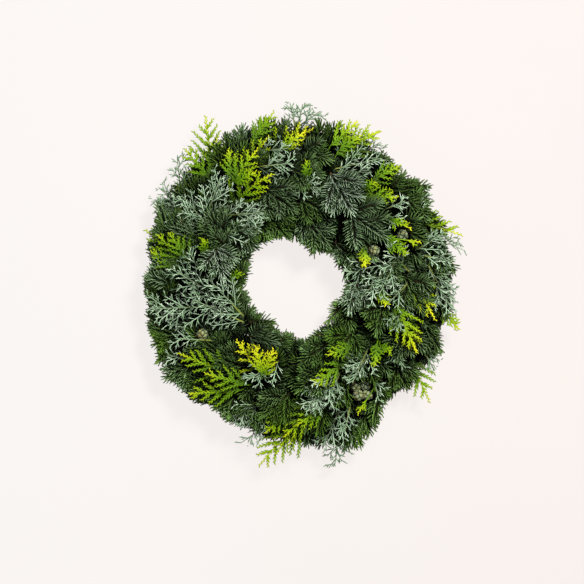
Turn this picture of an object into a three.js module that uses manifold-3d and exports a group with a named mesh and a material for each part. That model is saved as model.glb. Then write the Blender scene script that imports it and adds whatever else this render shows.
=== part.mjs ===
// A fresh evergreen wreath that lies on its back, in millimetres, +Z up and front.
// A straw ring carries sprays of fir, blue cypress and gold cypress, and cypress cones sit on the sprays.
// One wire winds round the ring and over the foot of each stem.
import * as THREE from "three";
import { mergeVertices } from "three/addons/utils/BufferGeometryUtils.js";
import Module from "manifold-3d";

// Bearings are degrees clockwise from the top of the wreath, which is also the way the sprays point.
// A seat is the place of a stem round the straw: 0 is the outer side, 90 the top and 180 the inner side.
const RING_RADIUS = 150; // centre line of the straw ring
const STRAW_RADIUS = 17.5; // to the corners of the straw, where it bulges between two turns of wire
const WAIST_RADIUS = 15.8; // the same where the wire pulls it in
const STRAW_SIDES = 8;
const STATIONS_PER_TURN = 3; // one waist and two bulges
const WIRE_TURNS = 16;
const WIRE_RADIUS = 0.6;
const WIRE_STEP = 0.4; // the wire is eased outwards by this much, so many times, until it clears the stems
const WIRE_PASSES = 60;
const BOUND = 9; // a stem's cut end lies this far before the turn of wire that holds it
const HELD = 16; // length of stem that the wire has to pass over, never between stem and straw
const HELD_DEPTHS = [0, 2.2, 4.4];
const SEAT_GAP = 0.4; // between a stem and the straw, and between a cone and its stem
const CLEARANCE = 0.5; // least gap between two sprays
const FLOOR_CLEARANCE = 0.6;
const TOUCH = 0.01; // facets that meet this close to a corner only touch there

const VARY = { bearing: 2, radius: 4, height: 3, lean: 5, length: 0.1 }; // how far like sprays and needles differ

// Where there is no room, a twig is tried again by [share of its length, rise in degrees].
const FIR = {
  stemRadius: 1.6,
  bare: 14,
  pitch: 8.2,
  needle: 21,
  needleTip: 0.3,
  sweep: 54,
  shorter: [1, 0.75, 0.5],
  closer: [0, -14, 12],
  twigSweep: 46,
  twigRadius: 1.2,
  twigCollar: 0.7, // the first step of a side twig against the others
  twigTries: [[1, 2], [1, 14], [1, 28], [0.8, 2], [0.8, 20], [0.8, 40], [0.6, 10], [0.6, 45]],
};
const BLUE = {
  stemRadius: 1.4,
  bare: 0.36,
  pair: 3.5, // length of stem on which a pair of branches stands
  pitch: 15,
  branch: 42,
  branchRadius: 1.1,
  shares: [0, 0.1, 0.42, 0.51, 1], // of a branch: its collar, and the short length that forks
  sweep: 44,
  tries: [[1, 4], [1, 16], [0.75, 4], [0.75, 22], [0.5, 10]],
  fork: 17,
  forkTries: [1, 0.7],
};
const GOLD = {
  halfStem: 1.3,
  thickness: 1.4,
  stem: [0, 0.11, 0.22, 0.33], // shares of the length at which the bare stem bends
  bare: 0.44,
  lobes: 6,
  shrink: 0.86, // each lobe against the one before it
  leafy: 0.94, // share of the rest of the length that carries lobes
  reach: 1.7, // of a lobe, over the step to the next
  sweep: 42,
  cut: [[0.5, 0.15], [1, 0], [0.24, -0.11]], // the shoulder of a lobe, its point and the valley after it
  arch: 0.006,
};
const CONE = { radius: 9, scale: 9.2 }; // to the corners between the scales, and to the point of each scale

// Each row of fir is one spray repeated round the ring. Knee and tip are [degrees past the foot, radius, height],
// and a side twig is [share of the stem, 1 on the left or -1 on the right, length].
const FIR_ROWS = [
  {
    name: "fir_outer",
    count: 11,
    first: 6,
    seat: 5,
    knee: [13, 194, 24],
    tip: [33, 240, 32],
    splay: 0,
    oval: 12, // further out at the top and bottom of the wreath than at its sides
    twigs: [[0.27, 1, 56], [0.42, -1, 56]],
  },
  {
    name: "fir_inner",
    count: 7,
    first: 20,
    seat: 175,
    knee: [16, 120, 27],
    tip: [44, 101, 36],
    splay: 0,
    oval: 0,
    twigs: [[0.3, -1, 40], [0.5, 1, 34]],
  },
  {
    name: "fir_top",
    count: 8,
    first: 14,
    seat: 90,
    knee: [12, 152, 52],
    tip: [36, 160, 64],
    splay: 26, // every other spray leans in by this much, and the rest lean out
    oval: 0,
    twigs: [[0.34, 1, 44], [0.46, -1, 44]],
  },
];

// Cypress sprays lie where the front view shows them: [foot x, foot y, tip x, tip y, lift, seat].
const BLUE_SPRAYS = [
  [-185, 107, -193, 214, 4, 50],
  [-148, 104, -121, 178, 4, 70],
  [-113, 115, -54, 118, 6, 130],
  [-66, 192, 1, 227, 0, 60],
  [60, 189, 135, 235, 2, 60],
  [190, 61, 262, 72, 6, 60],
  [151, 45, 74, 19, 8, 160],
  [209, 37, 254, -24, 0, 40],
  [162, -59, 158, -122, 0, 70],
  [62, -138, 14, -189, 6, 70],
  [73, -179, 60, -285, 0, 50],
  [-58, -176, -76, -251, 4, 50],
  [-124, -78, -236, -32, 0, 60],
  [-131, -13, -172, 60, 12, 30],
];
const GOLD_SPRAYS = [
  [-140, 186, -148, 278, 0, 32],
  [-105, 170, -46, 240, 8, 90],
  [-113, 147, -39, 179, 12, 150],
  [-44, 226, 26, 254, 4, 50],
  [54, 232, 132, 251, 2, 40],
  [97, 146, 158, 144, 4, 70],
  [190, 110, 263, 85, 2, 40],
  [185, 14, 218, -51, 8, 80],
  [154, -24, 188, -102, 10, 40],
  [185, -118, 212, -184, 4, 60],
  [10, -198, -62, -286, 4, 60],
  [-102, -141, -190, -102, 14, 60],
  [-60, -141, -97, -82, 8, 120],
  [-178, 45, -244, 93, 4, 60],
];
const CROWN = 78; // height of the foliage over the ring, and how far it falls away on either side of it
const DROP = 44;
const DROP_WIDTH = 130;
const FOOT_BACK = 15; // a cypress stem is bound this many degrees before the foot of its leaves
const FOOT_DOWN = 10; // that foot lies this far under the foliage's upper side, and the tip stands over it
const TIP_UP = 4;
// Cones sit on blue sprays, at a share of their length: one alone, or several that grow together.
const CONES = [
  { spray: "blue_cypress_11", share: 0.3, offsets: [[0, 0, 0], [16, 2, 2], [4, -14, 5], [19, -13, 3]] },
  { spray: "blue_cypress_07", share: 0.45, offsets: [[0, 0, 0]] },
  { spray: "blue_cypress_06", share: 0.42, offsets: [[0, 0, 0]] },
  { spray: "blue_cypress_13", share: 0.42, offsets: [[0, 0, 0]] },
];

const UP = new THREE.Vector3(0, 0, 1);
const RIM = Math.cos(Math.PI / STRAW_SIDES); // flat of the straw's section over its corner radius
const RING_HEIGHT = STRAW_RADIUS * RIM; // the straw rests on the flats of its bulges
const { degToRad: radians, radToDeg: degrees, clamp, lerp } = THREE.MathUtils;

// A repeatable number from -1 to 1.
function jitter(item, use) {
  const wave = Math.sin(item * 12.9898 + use * 78.233) * 43758.5453;
  return 2 * (wave - Math.floor(wave)) - 1;
}

function around(bearing, radius, height) {
  return new THREE.Vector3(radius * Math.sin(radians(bearing)), radius * Math.cos(radians(bearing)), height);
}

function bearingOf(x, y) {
  return degrees(Math.atan2(x, y));
}

// A point beside the ring's centre line, by its bearing, its seat and its distance from that line.
function besideRing(bearing, seat, distance) {
  const out = distance * Math.cos(radians(seat));
  return around(bearing, RING_RADIUS + out, RING_HEIGHT + distance * Math.sin(radians(seat)));
}

// Height of the foliage's upper side over the floor.
function dome(radius) {
  return CROWN - DROP * Math.min(1, Math.abs(radius - RING_RADIUS) / DROP_WIDTH) ** 2;
}

// ---- Rods: what is already placed, as straight pieces with a radius at either end ----

const rods = [];

function makeRod(twig, start, end, startRadius, endRadius) {
  const middle = start.clone().add(end).multiplyScalar(0.5);
  const reach = start.distanceTo(end) / 2 + Math.max(startRadius, endRadius);
  return { twig, start, end, startRadius, endRadius, middle, reach };
}

// Gap between two rods at the closest points of their centre lines.
function gapBetween(a, b) {
  const u = a.end.clone().sub(a.start);
  const v = b.end.clone().sub(b.start);
  const w = a.start.clone().sub(b.start);
  const uu = u.dot(u);
  const vv = v.dot(v);
  const uv = u.dot(v);
  const spread = uu * vv - uv * uv;
  let s = spread > 1e-9 ? clamp((uv * v.dot(w) - vv * u.dot(w)) / spread, 0, 1) : 0;
  const t = clamp((uv * s + v.dot(w)) / vv, 0, 1);
  s = clamp((uv * t - u.dot(w)) / uu, 0, 1);
  const distance = w.addScaledVector(u, s).addScaledVector(v, -t).length();
  return distance - lerp(a.startRadius, a.endRadius, s) - lerp(b.startRadius, b.endRadius, t);
}

function isClear(rod, clearance = CLEARANCE) {
  if (Math.min(rod.start.z - rod.startRadius, rod.end.z - rod.endRadius) < FLOOR_CLEARANCE) return false;
  return rods.every((other) => {
    if (other.twig === rod.twig || other.twig === rod.parent) return true;
    if (other.middle.distanceTo(rod.middle) > other.reach + rod.reach + clearance) return true;
    return gapBetween(rod, other) >= clearance;
  });
}

function placeLine(twig, points, radius) {
  for (let i = 1; i < points.length; i++) rods.push(makeRod(twig, points[i - 1], points[i], radius, radius));
}

// ---- Shoots: closed three-sided stems whose facets are raised to needles or grow into twigs ----

// Whether the straight line between two points passes through a triangle, its own ends apart.
function pierces(from, to, [a, b, c]) {
  const ray = new THREE.Ray(from, to.clone().sub(from).normalize());
  const hit = ray.intersectTriangle(a, b, c, false, new THREE.Vector3());
  if (hit === null || hit.distanceTo(from) < TOUCH) return false;
  return hit.distanceTo(from) < to.distanceTo(from) - TOUCH;
}

class Shoot {
  constructor() {
    this.points = [];
    this.facets = [];
  }

  point(position) {
    return this.points.push(position) - 1;
  }

  // Three corners round a centre, the first of them turned from straight up towards the right-hand side.
  ring(centre, along, radius, turn) {
    const right = along.clone().cross(UP).normalize();
    const top = right.clone().cross(along);
    return [0, 120, 240].map((step) => {
      const angle = radians(turn + step);
      const corner = centre.clone().addScaledVector(top, radius * Math.cos(angle));
      return this.point(corner.addScaledVector(right, radius * Math.sin(angle)));
    });
  }

  facet(corners, axis, along) {
    const centre = new THREE.Vector3();
    for (const corner of corners) centre.addScaledVector(this.points[corner], 1 / 3);
    const out = centre.clone().sub(axis);
    out.addScaledVector(along, -out.dot(along)).normalize();
    const facet = { corners, centre, along, out };
    this.facets.push(facet);
    return facet;
  }

  // Six facets between two rings, the second turned by half a side against the first.
  band(lower, upper, axis, along) {
    const made = [];
    for (let i = 0; i < 3; i++) {
      const next = (i + 1) % 3;
      made.push(this.facet([lower[i], lower[next], upper[i]], axis, along));
      made.push(this.facet([lower[next], upper[next], upper[i]], axis, along));
    }
    return made;
  }

  // A stem on from a ring, through the stations of a line, to a point at its end.
  extend(firstRing, line, radius, turn) {
    const bands = [];
    let ring = firstRing;
    for (let i = 1; i < line.length; i++) {
      const along = line[i].clone().sub(line[i - 1]).normalize();
      const axis = line[i].clone().add(line[i - 1]).multiplyScalar(0.5);
      if (i === line.length - 1) {
        const tip = this.point(line[i]);
        bands.push(ring.map((corner, k) => this.facet([corner, ring[(k + 1) % 3], tip], axis, along)));
        return bands;
      }
      const thinner = radius * (1 - (0.5 * i) / line.length);
      const upper = this.ring(line[i], along, thinner, turn + 60 * i);
      bands.push(this.band(ring, upper, axis, along));
      ring = upper;
    }
    return bands;
  }

  // The main stem, closed at its cut end. The turn brings one corner of its section to face the straw.
  stem(line, radius, turn) {
    const along = line[1].clone().sub(line[0]).normalize();
    const root = this.ring(line[0], along, radius, turn);
    this.facet([root[0], root[2], root[1]], line[0], along);
    return this.extend(root, line, radius, turn);
  }

  // A twig that grows out of a facet along a line.
  branch(facet, line, radius) {
    this.facets.splice(this.facets.indexOf(facet), 1);
    const along = line[1].clone().sub(line[0]).normalize();
    const right = along.clone().cross(UP).normalize();
    const top = right.clone().cross(along);
    const corner = this.points[facet.corners[0]].clone().sub(line[0]);
    const turn = degrees(Math.atan2(corner.dot(right), corner.dot(top)));
    return this.extend(facet.corners, line, radius, turn);
  }

  // A needle: the facet's three edges are drawn out to one point.
  raise(facet, tip) {
    const [a, b, c] = facet.corners;
    const apex = this.point(tip);
    facet.corners = [a, b, apex];
    this.facets.push({ corners: [b, c, apex] }, { corners: [c, a, apex] });
  }

  // Whether a needle to this tip would run through another facet of the shoot.
  crosses(facet, tip) {
    const corners = facet.corners.map((corner) => this.points[corner]);
    const sides = corners.map((corner, k) => [corner, corners[(k + 1) % 3], tip]);
    return this.facets.some((other) => {
      if (other === facet) return false;
      const triangle = other.corners.map((corner) => this.points[corner]);
      if (corners.some((corner) => pierces(corner, tip, triangle))) return true;
      return triangle.some((from, k) => sides.some((side) => pierces(from, triangle[(k + 1) % 3], side)));
    });
  }

  geometry() {
    const positions = this.points.flatMap((p) => [p.x, p.y, p.z]);
    const made = new THREE.BufferGeometry();
    made.setAttribute("position", new THREE.Float32BufferAttribute(positions, 3));
    made.setIndex(this.facets.flatMap((facet) => facet.corners));
    return made;
  }
}

// ---- The ring and its wire ----

// The wire's bearing and the straw's corner at a step along the wire.
function wireStep(step) {
  return { bearing: (360 * step) / (STRAW_SIDES * WIRE_TURNS), seat: (360 * (step + 0.5)) / STRAW_SIDES };
}

function strawRing() {
  const stations = STATIONS_PER_TURN * WIRE_TURNS;
  const points = [];
  for (let i = 0; i < stations; i++) {
    const radius = i % STATIONS_PER_TURN === 0 ? WAIST_RADIUS : STRAW_RADIUS;
    for (let j = 0; j < STRAW_SIDES; j++) {
      const bearing = (360 * (i + (STATIONS_PER_TURN * j) / STRAW_SIDES)) / stations;
      points.push(...besideRing(bearing, wireStep(j).seat, radius));
    }
  }
  // One time round the straw leads on to the next waist, so that the waists form one long screw line.
  const at = (i, j) => {
    const station = j === STRAW_SIDES ? i + STATIONS_PER_TURN : i;
    return (station % stations) * STRAW_SIDES + (j % STRAW_SIDES);
  };
  const triangles = [];
  for (let i = 0; i < stations; i++) {
    for (let j = 0; j < STRAW_SIDES; j++) {
      triangles.push(at(i, j), at(i, j + 1), at(i + 1, j + 1));
      triangles.push(at(i, j), at(i + 1, j + 1), at(i + 1, j));
    }
  }
  return indexed(points, triangles);
}

function ringLine() {
  return Array.from({ length: 49 }, (_, i) => around((360 * i) / 48, RING_RADIUS, RING_HEIGHT));
}

function indexed(points, triangles) {
  const made = new THREE.BufferGeometry();
  made.setAttribute("position", new THREE.Float32BufferAttribute(points, 3));
  made.setIndex(triangles);
  return made;
}

// The length of each stem that the wire holds down, and the same again further in towards the straw.
function heldLengths() {
  return [...stems.values()].flatMap(({ curve }) => {
    const start = curve.getPointAt(0);
    const end = curve.getPointAt(HELD / curve.getLength());
    const centre = around(bearingOf(start.x, start.y), RING_RADIUS, RING_HEIGHT);
    const inwards = centre.sub(start).normalize();
    return HELD_DEPTHS.map((depth) => {
      const from = start.clone().addScaledVector(inwards, depth);
      return makeRod("held", from, end.clone().addScaledVector(inwards, depth), FIR.stemRadius, FIR.stemRadius);
    });
  });
}

// Distances of the wire from the ring's centre line at each step: snug in the waists, and out over the stems.
function wireDistances() {
  const steps = STRAW_SIDES * WIRE_TURNS;
  const distances = new Array(steps).fill(WAIST_RADIUS + (SEAT_GAP + WIRE_RADIUS) / RIM);
  const point = (step) => besideRing(wireStep(step).bearing, wireStep(step).seat, distances[step % steps]);
  const inTheWay = [...rods, ...heldLengths()];
  for (let pass = 0; pass < WIRE_PASSES; pass++) {
    for (let step = 0; step < steps; step++) {
      const rod = makeRod("wire", point(step), point(step + 1), WIRE_RADIUS, WIRE_RADIUS);
      const near = inTheWay.filter((other) => other.middle.distanceTo(rod.middle) < other.reach + rod.reach + 1);
      if (near.every((other) => gapBetween(rod, other) >= CLEARANCE)) continue;
      distances[step] += WIRE_STEP;
      distances[(step + 1) % steps] += WIRE_STEP;
    }
  }
  return distances;
}

function bindingWire() {
  const distances = wireDistances();
  const steps = distances.length;
  const line = distances.map((distance, step) => besideRing(wireStep(step).bearing, wireStep(step).seat, distance));
  placeLine("wire", [...line, line[0]], WIRE_RADIUS);
  const points = [];
  for (let step = 0; step < steps; step++) {
    const { bearing, seat } = wireStep(step);
    for (let corner = 0; corner < 3; corner++) {
      const angle = radians(120 * corner);
      const shifted = bearing + degrees((WIRE_RADIUS * Math.sin(angle)) / RING_RADIUS);
      points.push(...besideRing(shifted, seat, distances[step] + WIRE_RADIUS * Math.cos(angle)));
    }
  }
  const triangles = [];
  for (let step = 0; step < steps; step++) {
    const next = (step + 1) % steps;
    for (let corner = 0; corner < 3; corner++) {
      const other = (corner + 1) % 3;
      triangles.push(3 * step + corner, 3 * next + other, 3 * step + other);
      triangles.push(3 * step + corner, 3 * next + corner, 3 * next + other);
    }
  }
  return indexed(points, triangles);
}

// ---- Stems ----

// Where the cut end of a stem lies on the straw: a little before the nearest turn of wire, and just clear of it.
// A stem that leads away from the straw towards its next point lies closer by the tilt of its end.
function cutEnd(bearing, seat, thickness, next) {
  const turn = 360 / WIRE_TURNS;
  const lead = degrees(BOUND / RING_RADIUS);
  const screw = (seat - 180 / STRAW_SIDES) / 360;
  const held = turn * (Math.round(bearing / turn - screw) + screw) - lead;
  const outside = besideRing(held, seat, 2 * STRAW_RADIUS);
  const away = outside.clone().sub(besideRing(held, seat, 0)).normalize();
  const [surface] = new THREE.Raycaster(outside, away.clone().negate()).intersectObject(straw);
  const tilt = next.clone().sub(surface.point).normalize().dot(away);
  return surface.point.addScaledVector(away, SEAT_GAP + thickness * Math.sqrt(1 - tilt * tilt));
}

function firStem(row, index) {
  const draw = (use) => jitter(index + row.count * 7, use);
  const bearing = row.first + (360 * index) / row.count + VARY.bearing * draw(1);
  const splay = row.splay * (index % 2 ? -1 : 1);
  const end = bearing + row.tip[0] + VARY.bearing * draw(2);
  const reach = row.tip[1] + splay + row.oval * Math.cos(radians(end)) ** 2;
  const tip = around(end, reach + VARY.radius * draw(3), row.tip[2] + VARY.height * draw(4));
  const knee = around(bearing + row.knee[0], row.knee[1] + splay / 3, row.knee[2]);
  return new THREE.QuadraticBezierCurve3(cutEnd(bearing, row.seat, FIR.stemRadius, knee), knee, tip);
}

function cypressStem([footX, footY, tipX, tipY, lift, seat], thickness) {
  const footRadius = Math.hypot(footX, footY);
  const foot = new THREE.Vector3(footX, footY, dome(footRadius) + lift - FOOT_DOWN);
  const root = cutEnd(bearingOf(footX, footY) - FOOT_BACK, seat, thickness, foot);
  const tip = new THREE.Vector3(tipX, tipY, dome(Math.hypot(tipX, tipY)) + lift + TIP_UP);
  return new THREE.QuadraticBezierCurve3(root, foot, tip);
}

// ---- Sprays ----

// A direction between the way a twig runs and the way a facet faces.
function swept(facet, sweep) {
  const angle = radians(sweep);
  return facet.along.clone().multiplyScalar(Math.cos(angle)).addScaledVector(facet.out, Math.sin(angle));
}

// Grows a needle from a facet where there is room: as it should be, or leaning closer to the twig, or shorter.
function addNeedle(shoot, facet, twig, length, number) {
  const sweep = FIR.sweep + VARY.lean * jitter(number, 5);
  for (const share of FIR.shorter) {
    for (const lean of FIR.closer) {
      const tip = facet.centre.clone().addScaledVector(swept(facet, sweep + lean), length * share);
      const rod = makeRod(twig, facet.centre, tip, 0.4 * FIR.pitch, FIR.needleTip);
      if (!isClear(rod) || shoot.crosses(facet, tip)) continue;
      rods.push(rod);
      shoot.raise(facet, tip);
      return;
    }
  }
}

// The facet of a band that faces furthest to one side: 1 is left of the way the twig runs, -1 right.
function facingSide(band, side) {
  const right = band[0].along.clone().cross(UP).normalize();
  const reach = (facet) => -side * facet.out.dot(right);
  return band.reduce((best, facet) => (reach(facet) > reach(best) ? facet : best));
}

// Grows a side twig from a facet by the first of its tries that has room.
function addTwig(shoot, facet, parent, { number, length, sweep, shares, radius, tries }) {
  for (const [part, rise] of tries) {
    const direction = swept(facet, sweep + VARY.lean * jitter(number, 7));
    direction.z += Math.tan(radians(rise + VARY.lean * jitter(number, 8)));
    direction.setLength(length * part);
    const line = shares.map((share) => facet.centre.clone().addScaledVector(direction, share));
    const twig = parent + "/" + number;
    const rod = { ...makeRod(twig, line[0], line.at(-1), 2 * radius, 0.5), parent };
    if (!isClear(rod)) continue;
    rods.push(rod);
    return { twig, bands: shoot.branch(facet, line, radius) };
  }
  return null;
}

// A fir spray before its needles: the main stem and its side twigs, each with the bands that carry needles.
function firShoot(name, line, row, salt) {
  const shoot = new Shoot();
  const main = shoot.stem(line, FIR.stemRadius, 90 + row.seat);
  const twigs = [];
  row.twigs.forEach(([share, side, length], i) => {
    const facet = facingSide(main[Math.round(share * main.length)], side);
    const steps = Math.round(length / FIR.pitch);
    const shares = Array.from({ length: steps + 1 }, (_, k) => (k === 1 ? FIR.twigCollar : k) / steps);
    const size = { length, shares, radius: FIR.twigRadius };
    const form = { number: salt * 10 + i, sweep: FIR.twigSweep, tries: FIR.twigTries };
    const made = addTwig(shoot, facet, name, { ...size, ...form });
    if (made) twigs.push({ twig: made.twig, bands: made.bands.slice(1) });
  });
  twigs.push({ twig: name, bands: main.slice(Math.ceil(FIR.bare / FIR.pitch)) });
  return { shoot, twigs };
}

function addNeedles({ shoot, twigs }, salt) {
  let number = salt * 1000;
  for (const { twig, bands } of twigs) {
    for (const facet of bands.flat()) {
      number += 1;
      if (!shoot.facets.includes(facet)) continue;
      addNeedle(shoot, facet, twig, FIR.needle * (1 + VARY.length * jitter(number, 6)), number);
    }
  }
}

// A blue spray: pairs of branches stand on short bands of the stem, and each forks once more near its middle.
function blueShoot(name, line, seat, salt) {
  const shoot = new Shoot();
  const main = shoot.stem(line, BLUE.stemRadius, 90 + seat);
  const pairs = main.slice(0, -1).filter((_, i) => i % 2 === 1);
  const first = Math.round(pairs.length * BLUE.bare);
  pairs.slice(first).forEach((band, i) => {
    for (const side of [1, -1]) {
      const number = salt * 100 + i * 2 + (side > 0 ? 1 : 0);
      const shrink = 1 - (0.5 * i) / (pairs.length - first);
      const length = BLUE.branch * shrink * (1 + 1.5 * VARY.length * jitter(number, 9));
      const size = { length, shares: BLUE.shares, radius: BLUE.branchRadius };
      const form = { number, sweep: BLUE.sweep, tries: BLUE.tries };
      const made = addTwig(shoot, facingSide(band, side), name, { ...size, ...form });
      if (!made) continue;
      for (const fork of [1, -1]) addFork(shoot, facingSide(made.bands[2], fork), made.twig, number + fork);
    }
  });
  return shoot;
}

// Stations along a blue stem: a long plain stretch and a short one for each pair of branches.
function blueLine(curve) {
  const length = curve.getLength();
  const line = [curve.getPointAt(0)];
  for (let at = BLUE.pitch; at < length - BLUE.pitch / 2; at += BLUE.pitch) {
    line.push(curve.getPointAt((at - BLUE.pair) / length), curve.getPointAt(at / length));
  }
  return [...line, curve.getPointAt(1)];
}

function addFork(shoot, facet, twig, number) {
  for (const share of BLUE.forkTries) {
    const length = BLUE.fork * share * (1 + 2 * VARY.length * jitter(number, 9));
    const tip = facet.centre.clone().addScaledVector(swept(facet, BLUE.sweep), length);
    const rod = makeRod(twig, facet.centre, tip, BLUE.branchRadius, FIR.needleTip);
    if (!isClear(rod)) continue;
    rods.push(rod);
    shoot.raise(facet, tip);
    return;
  }
}

// Where the lobes of a gold spray stand on its rib, each a set share shorter than the last.
function goldLobes(length, item) {
  const first = length * GOLD.bare;
  const sum = (1 - GOLD.shrink ** GOLD.lobes) / (1 - GOLD.shrink);
  let step = (GOLD.leafy * (length - first)) / sum;
  let foot = first;
  return Array.from({ length: GOLD.lobes }, (_, i) => {
    const lobe = { foot, step, reach: GOLD.reach * step * (1 + 0.12 * jitter(item, i)) };
    foot += step;
    step *= GOLD.shrink;
    return lobe;
  });
}

// The flat pattern of a gold spray: points, triangles counter-clockwise, and the outline in the same sense.
function goldPattern(length, item) {
  const points = [];
  const triangles = [];
  const put = (x, y) => points.push([x, y]) - 1;
  const lobes = goldLobes(length, item);
  const last = lobes.at(-1);
  const feet = [...GOLD.stem.map((share) => share * length), ...lobes.map((lobe) => lobe.foot), last.foot + last.step];
  const tip = put(length, 0);
  const edges = [1, -1].map((side) => {
    const rib = feet.map((foot) => put(foot, side * GOLD.halfStem));
    const edge = rib.slice(0, GOLD.stem.length);
    lobes.forEach((lobe, i) => {
      const base = rib[GOLD.stem.length + i];
      const next = rib[GOLD.stem.length + i + 1];
      const cut = GOLD.cut.map(([along, across]) => put(...lobePoint(lobe, side, along, across)));
      edge.push(base, ...cut);
      const valley = cut.at(-1);
      const fan = [next, base, ...cut.slice(0, -1)];
      for (let k = 1; k < fan.length; k++) {
        triangles.push(side > 0 ? [valley, fan[k], fan[k - 1]] : [valley, fan[k - 1], fan[k]]);
      }
    });
    return { rib, edge: [...edge, rib.at(-1)] };
  });
  const [left, right] = edges;
  for (let i = 1; i < feet.length; i++) {
    triangles.push([right.rib[i - 1], right.rib[i], left.rib[i]], [right.rib[i - 1], left.rib[i], left.rib[i - 1]]);
  }
  triangles.push([right.rib.at(-1), tip, left.rib.at(-1)]);
  return { points, triangles, outline: [...right.edge, tip, ...left.edge.reverse()] };
}

// A point of a lobe, by shares of its reach along it and across it towards the foot of the spray.
function lobePoint(lobe, side, along, across) {
  const c = Math.cos(radians(GOLD.sweep));
  const s = Math.sin(radians(GOLD.sweep));
  const x = lobe.foot + lobe.reach * (along * c - across * s);
  return [x, side * (GOLD.halfStem + lobe.reach * (along * s + across * c))];
}

// Carries flat points onto a curve: along it, across it on the level, and straight up.
function onCurve(curve, length) {
  return (x, y, z) => {
    const t = THREE.MathUtils.clamp(x / length, 0, 1);
    const left = UP.clone().cross(curve.getTangentAt(t)).normalize();
    return curve.getPointAt(t).addScaledVector(left, y).addScaledVector(UP, z - GOLD.arch * y * y);
  };
}

// One thin arched blade, with the same triangles on both faces.
function goldSpray(curve, item) {
  const length = curve.getLength();
  const { points, triangles, outline } = goldPattern(length, item);
  const carry = onCurve(curve, length);
  const face = (z) => points.flatMap(([x, y]) => [...carry(x, y, z)]);
  const up = points.length;
  const indices = [];
  for (const [a, b, c] of triangles) indices.push(a + up, b + up, c + up, a, c, b);
  outline.forEach((a, i) => {
    const b = outline[(i + 1) % outline.length];
    indices.push(a, b, b + up, a, b + up, a + up);
  });
  return indexed([...face(-GOLD.thickness / 2), ...face(GOLD.thickness / 2)], indices);
}

// Rods along the rib and the lobes of a gold spray, for the others to keep clear of.
function placeGold(name, curve, item) {
  const length = curve.getLength();
  const carry = onCurve(curve, length);
  const lobes = goldLobes(length, item);
  const feet = [...GOLD.stem, ...lobes.map((lobe) => lobe.foot / length), 1];
  placeLine(name, feet.map((share) => curve.getPointAt(share)), 1.25 * GOLD.halfStem);
  for (const lobe of lobes) {
    for (const side of [1, -1]) {
      const start = carry(lobe.foot + 0.5 * lobe.step, side * GOLD.halfStem, 0);
      const end = carry(...lobePoint(lobe, side, 1, 0), 0);
      rods.push(makeRod(name, start, end, 0.55 * lobe.step, 1));
    }
  }
}

// ---- Cones ----

// A cone's scales: each face of a round body is drawn out to a low point. One corner points straight down.
function coneGeometry() {
  const body = new THREE.IcosahedronGeometry(CONE.radius, 0);
  body.deleteAttribute("normal");
  body.deleteAttribute("uv");
  const merged = mergeVertices(body);
  const corners = merged.getAttribute("position");
  const lowest = new THREE.Vector3().fromBufferAttribute(corners, 0).normalize();
  merged.applyQuaternion(new THREE.Quaternion().setFromUnitVectors(lowest, UP.clone().negate()));
  const points = [...corners.array];
  const triangles = [];
  for (let i = 0; i < merged.index.count; i += 3) {
    const face = [0, 1, 2].map((k) => merged.index.getX(i + k));
    const peak = new THREE.Vector3();
    for (const k of face) peak.add(new THREE.Vector3().fromBufferAttribute(corners, k));
    peak.setLength(CONE.scale);
    const apex = points.length / 3;
    points.push(...peak);
    face.forEach((corner, k) => triangles.push(corner, face[(k + 1) % 3], apex));
  }
  return indexed(points, triangles);
}

function solidOf(geometry) {
  const vertProperties = new Float32Array(geometry.getAttribute("position").array);
  const triVerts = new Uint32Array(geometry.index.array);
  return new wasm.Manifold(new wasm.Mesh({ numProp: 3, vertProperties, triVerts }));
}

// Cones that grow against each other, fused to one body.
function coneCluster(offsets) {
  const solids = offsets.map((offset) => solidOf(coneGeometry().translate(...offset)));
  const mesh = solids.reduce((joined, solid) => joined.add(solid)).getMesh();
  return indexed([...mesh.vertProperties], [...mesh.triVerts]);
}

function coneSeat({ spray, share }) {
  const { curve } = stems.get(spray);
  const along = curve.getTangentAt(share);
  const away = UP.clone().addScaledVector(along, -along.z).normalize();
  return curve.getPointAt(share).addScaledVector(away, BLUE.stemRadius / 2 + SEAT_GAP + CONE.radius);
}

// ---- The whole wreath, placed from what holds its form to what fills it ----

const wasm = await Module();
wasm.setup();

const COLOURS = {
  straw: { color: 0x9c8450, roughness: 0.9 },
  wire: { color: 0x3c4a34, roughness: 0.5, metalness: 0.6 },
  fir: { color: 0x2f5a38, roughness: 0.6 },
  blue: { color: 0x7f9c90, roughness: 0.7 },
  gold: { color: 0xa6bf1e, roughness: 0.6 },
  cone: { color: 0x6d7256, roughness: 0.8 },
};
const wreath = new THREE.Group();

function addMesh(name, geometry, colour) {
  const mesh = new THREE.Mesh(geometry, new THREE.MeshStandardMaterial(COLOURS[colour]));
  mesh.name = name;
  wreath.add(mesh);
}

function numbered(name, index) {
  return name + "_" + String(index + 1).padStart(2, "0");
}

const straw = new THREE.Mesh(strawRing());
const stems = new Map();
for (const row of FIR_ROWS) {
  for (let i = 0; i < row.count; i++) {
    const curve = firStem(row, i);
    const line = curve.getSpacedPoints(Math.round(curve.getLength() / FIR.pitch));
    stems.set(numbered(row.name, i), { kind: "fir", curve, row, line });
  }
}
BLUE_SPRAYS.forEach((spray, i) => {
  const curve = cypressStem(spray, BLUE.stemRadius);
  stems.set(numbered("blue_cypress", i), { kind: "blue", curve, line: blueLine(curve), seat: spray.at(-1) });
});
GOLD_SPRAYS.forEach((spray, i) => {
  const seat = radians(spray.at(-1));
  const thickness = GOLD.halfStem * Math.abs(Math.cos(seat)) + (GOLD.thickness / 2) * Math.sin(seat);
  const curve = cypressStem(spray, thickness);
  stems.set(numbered("gold_cypress", i), { kind: "gold", curve, item: i });
});

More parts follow.
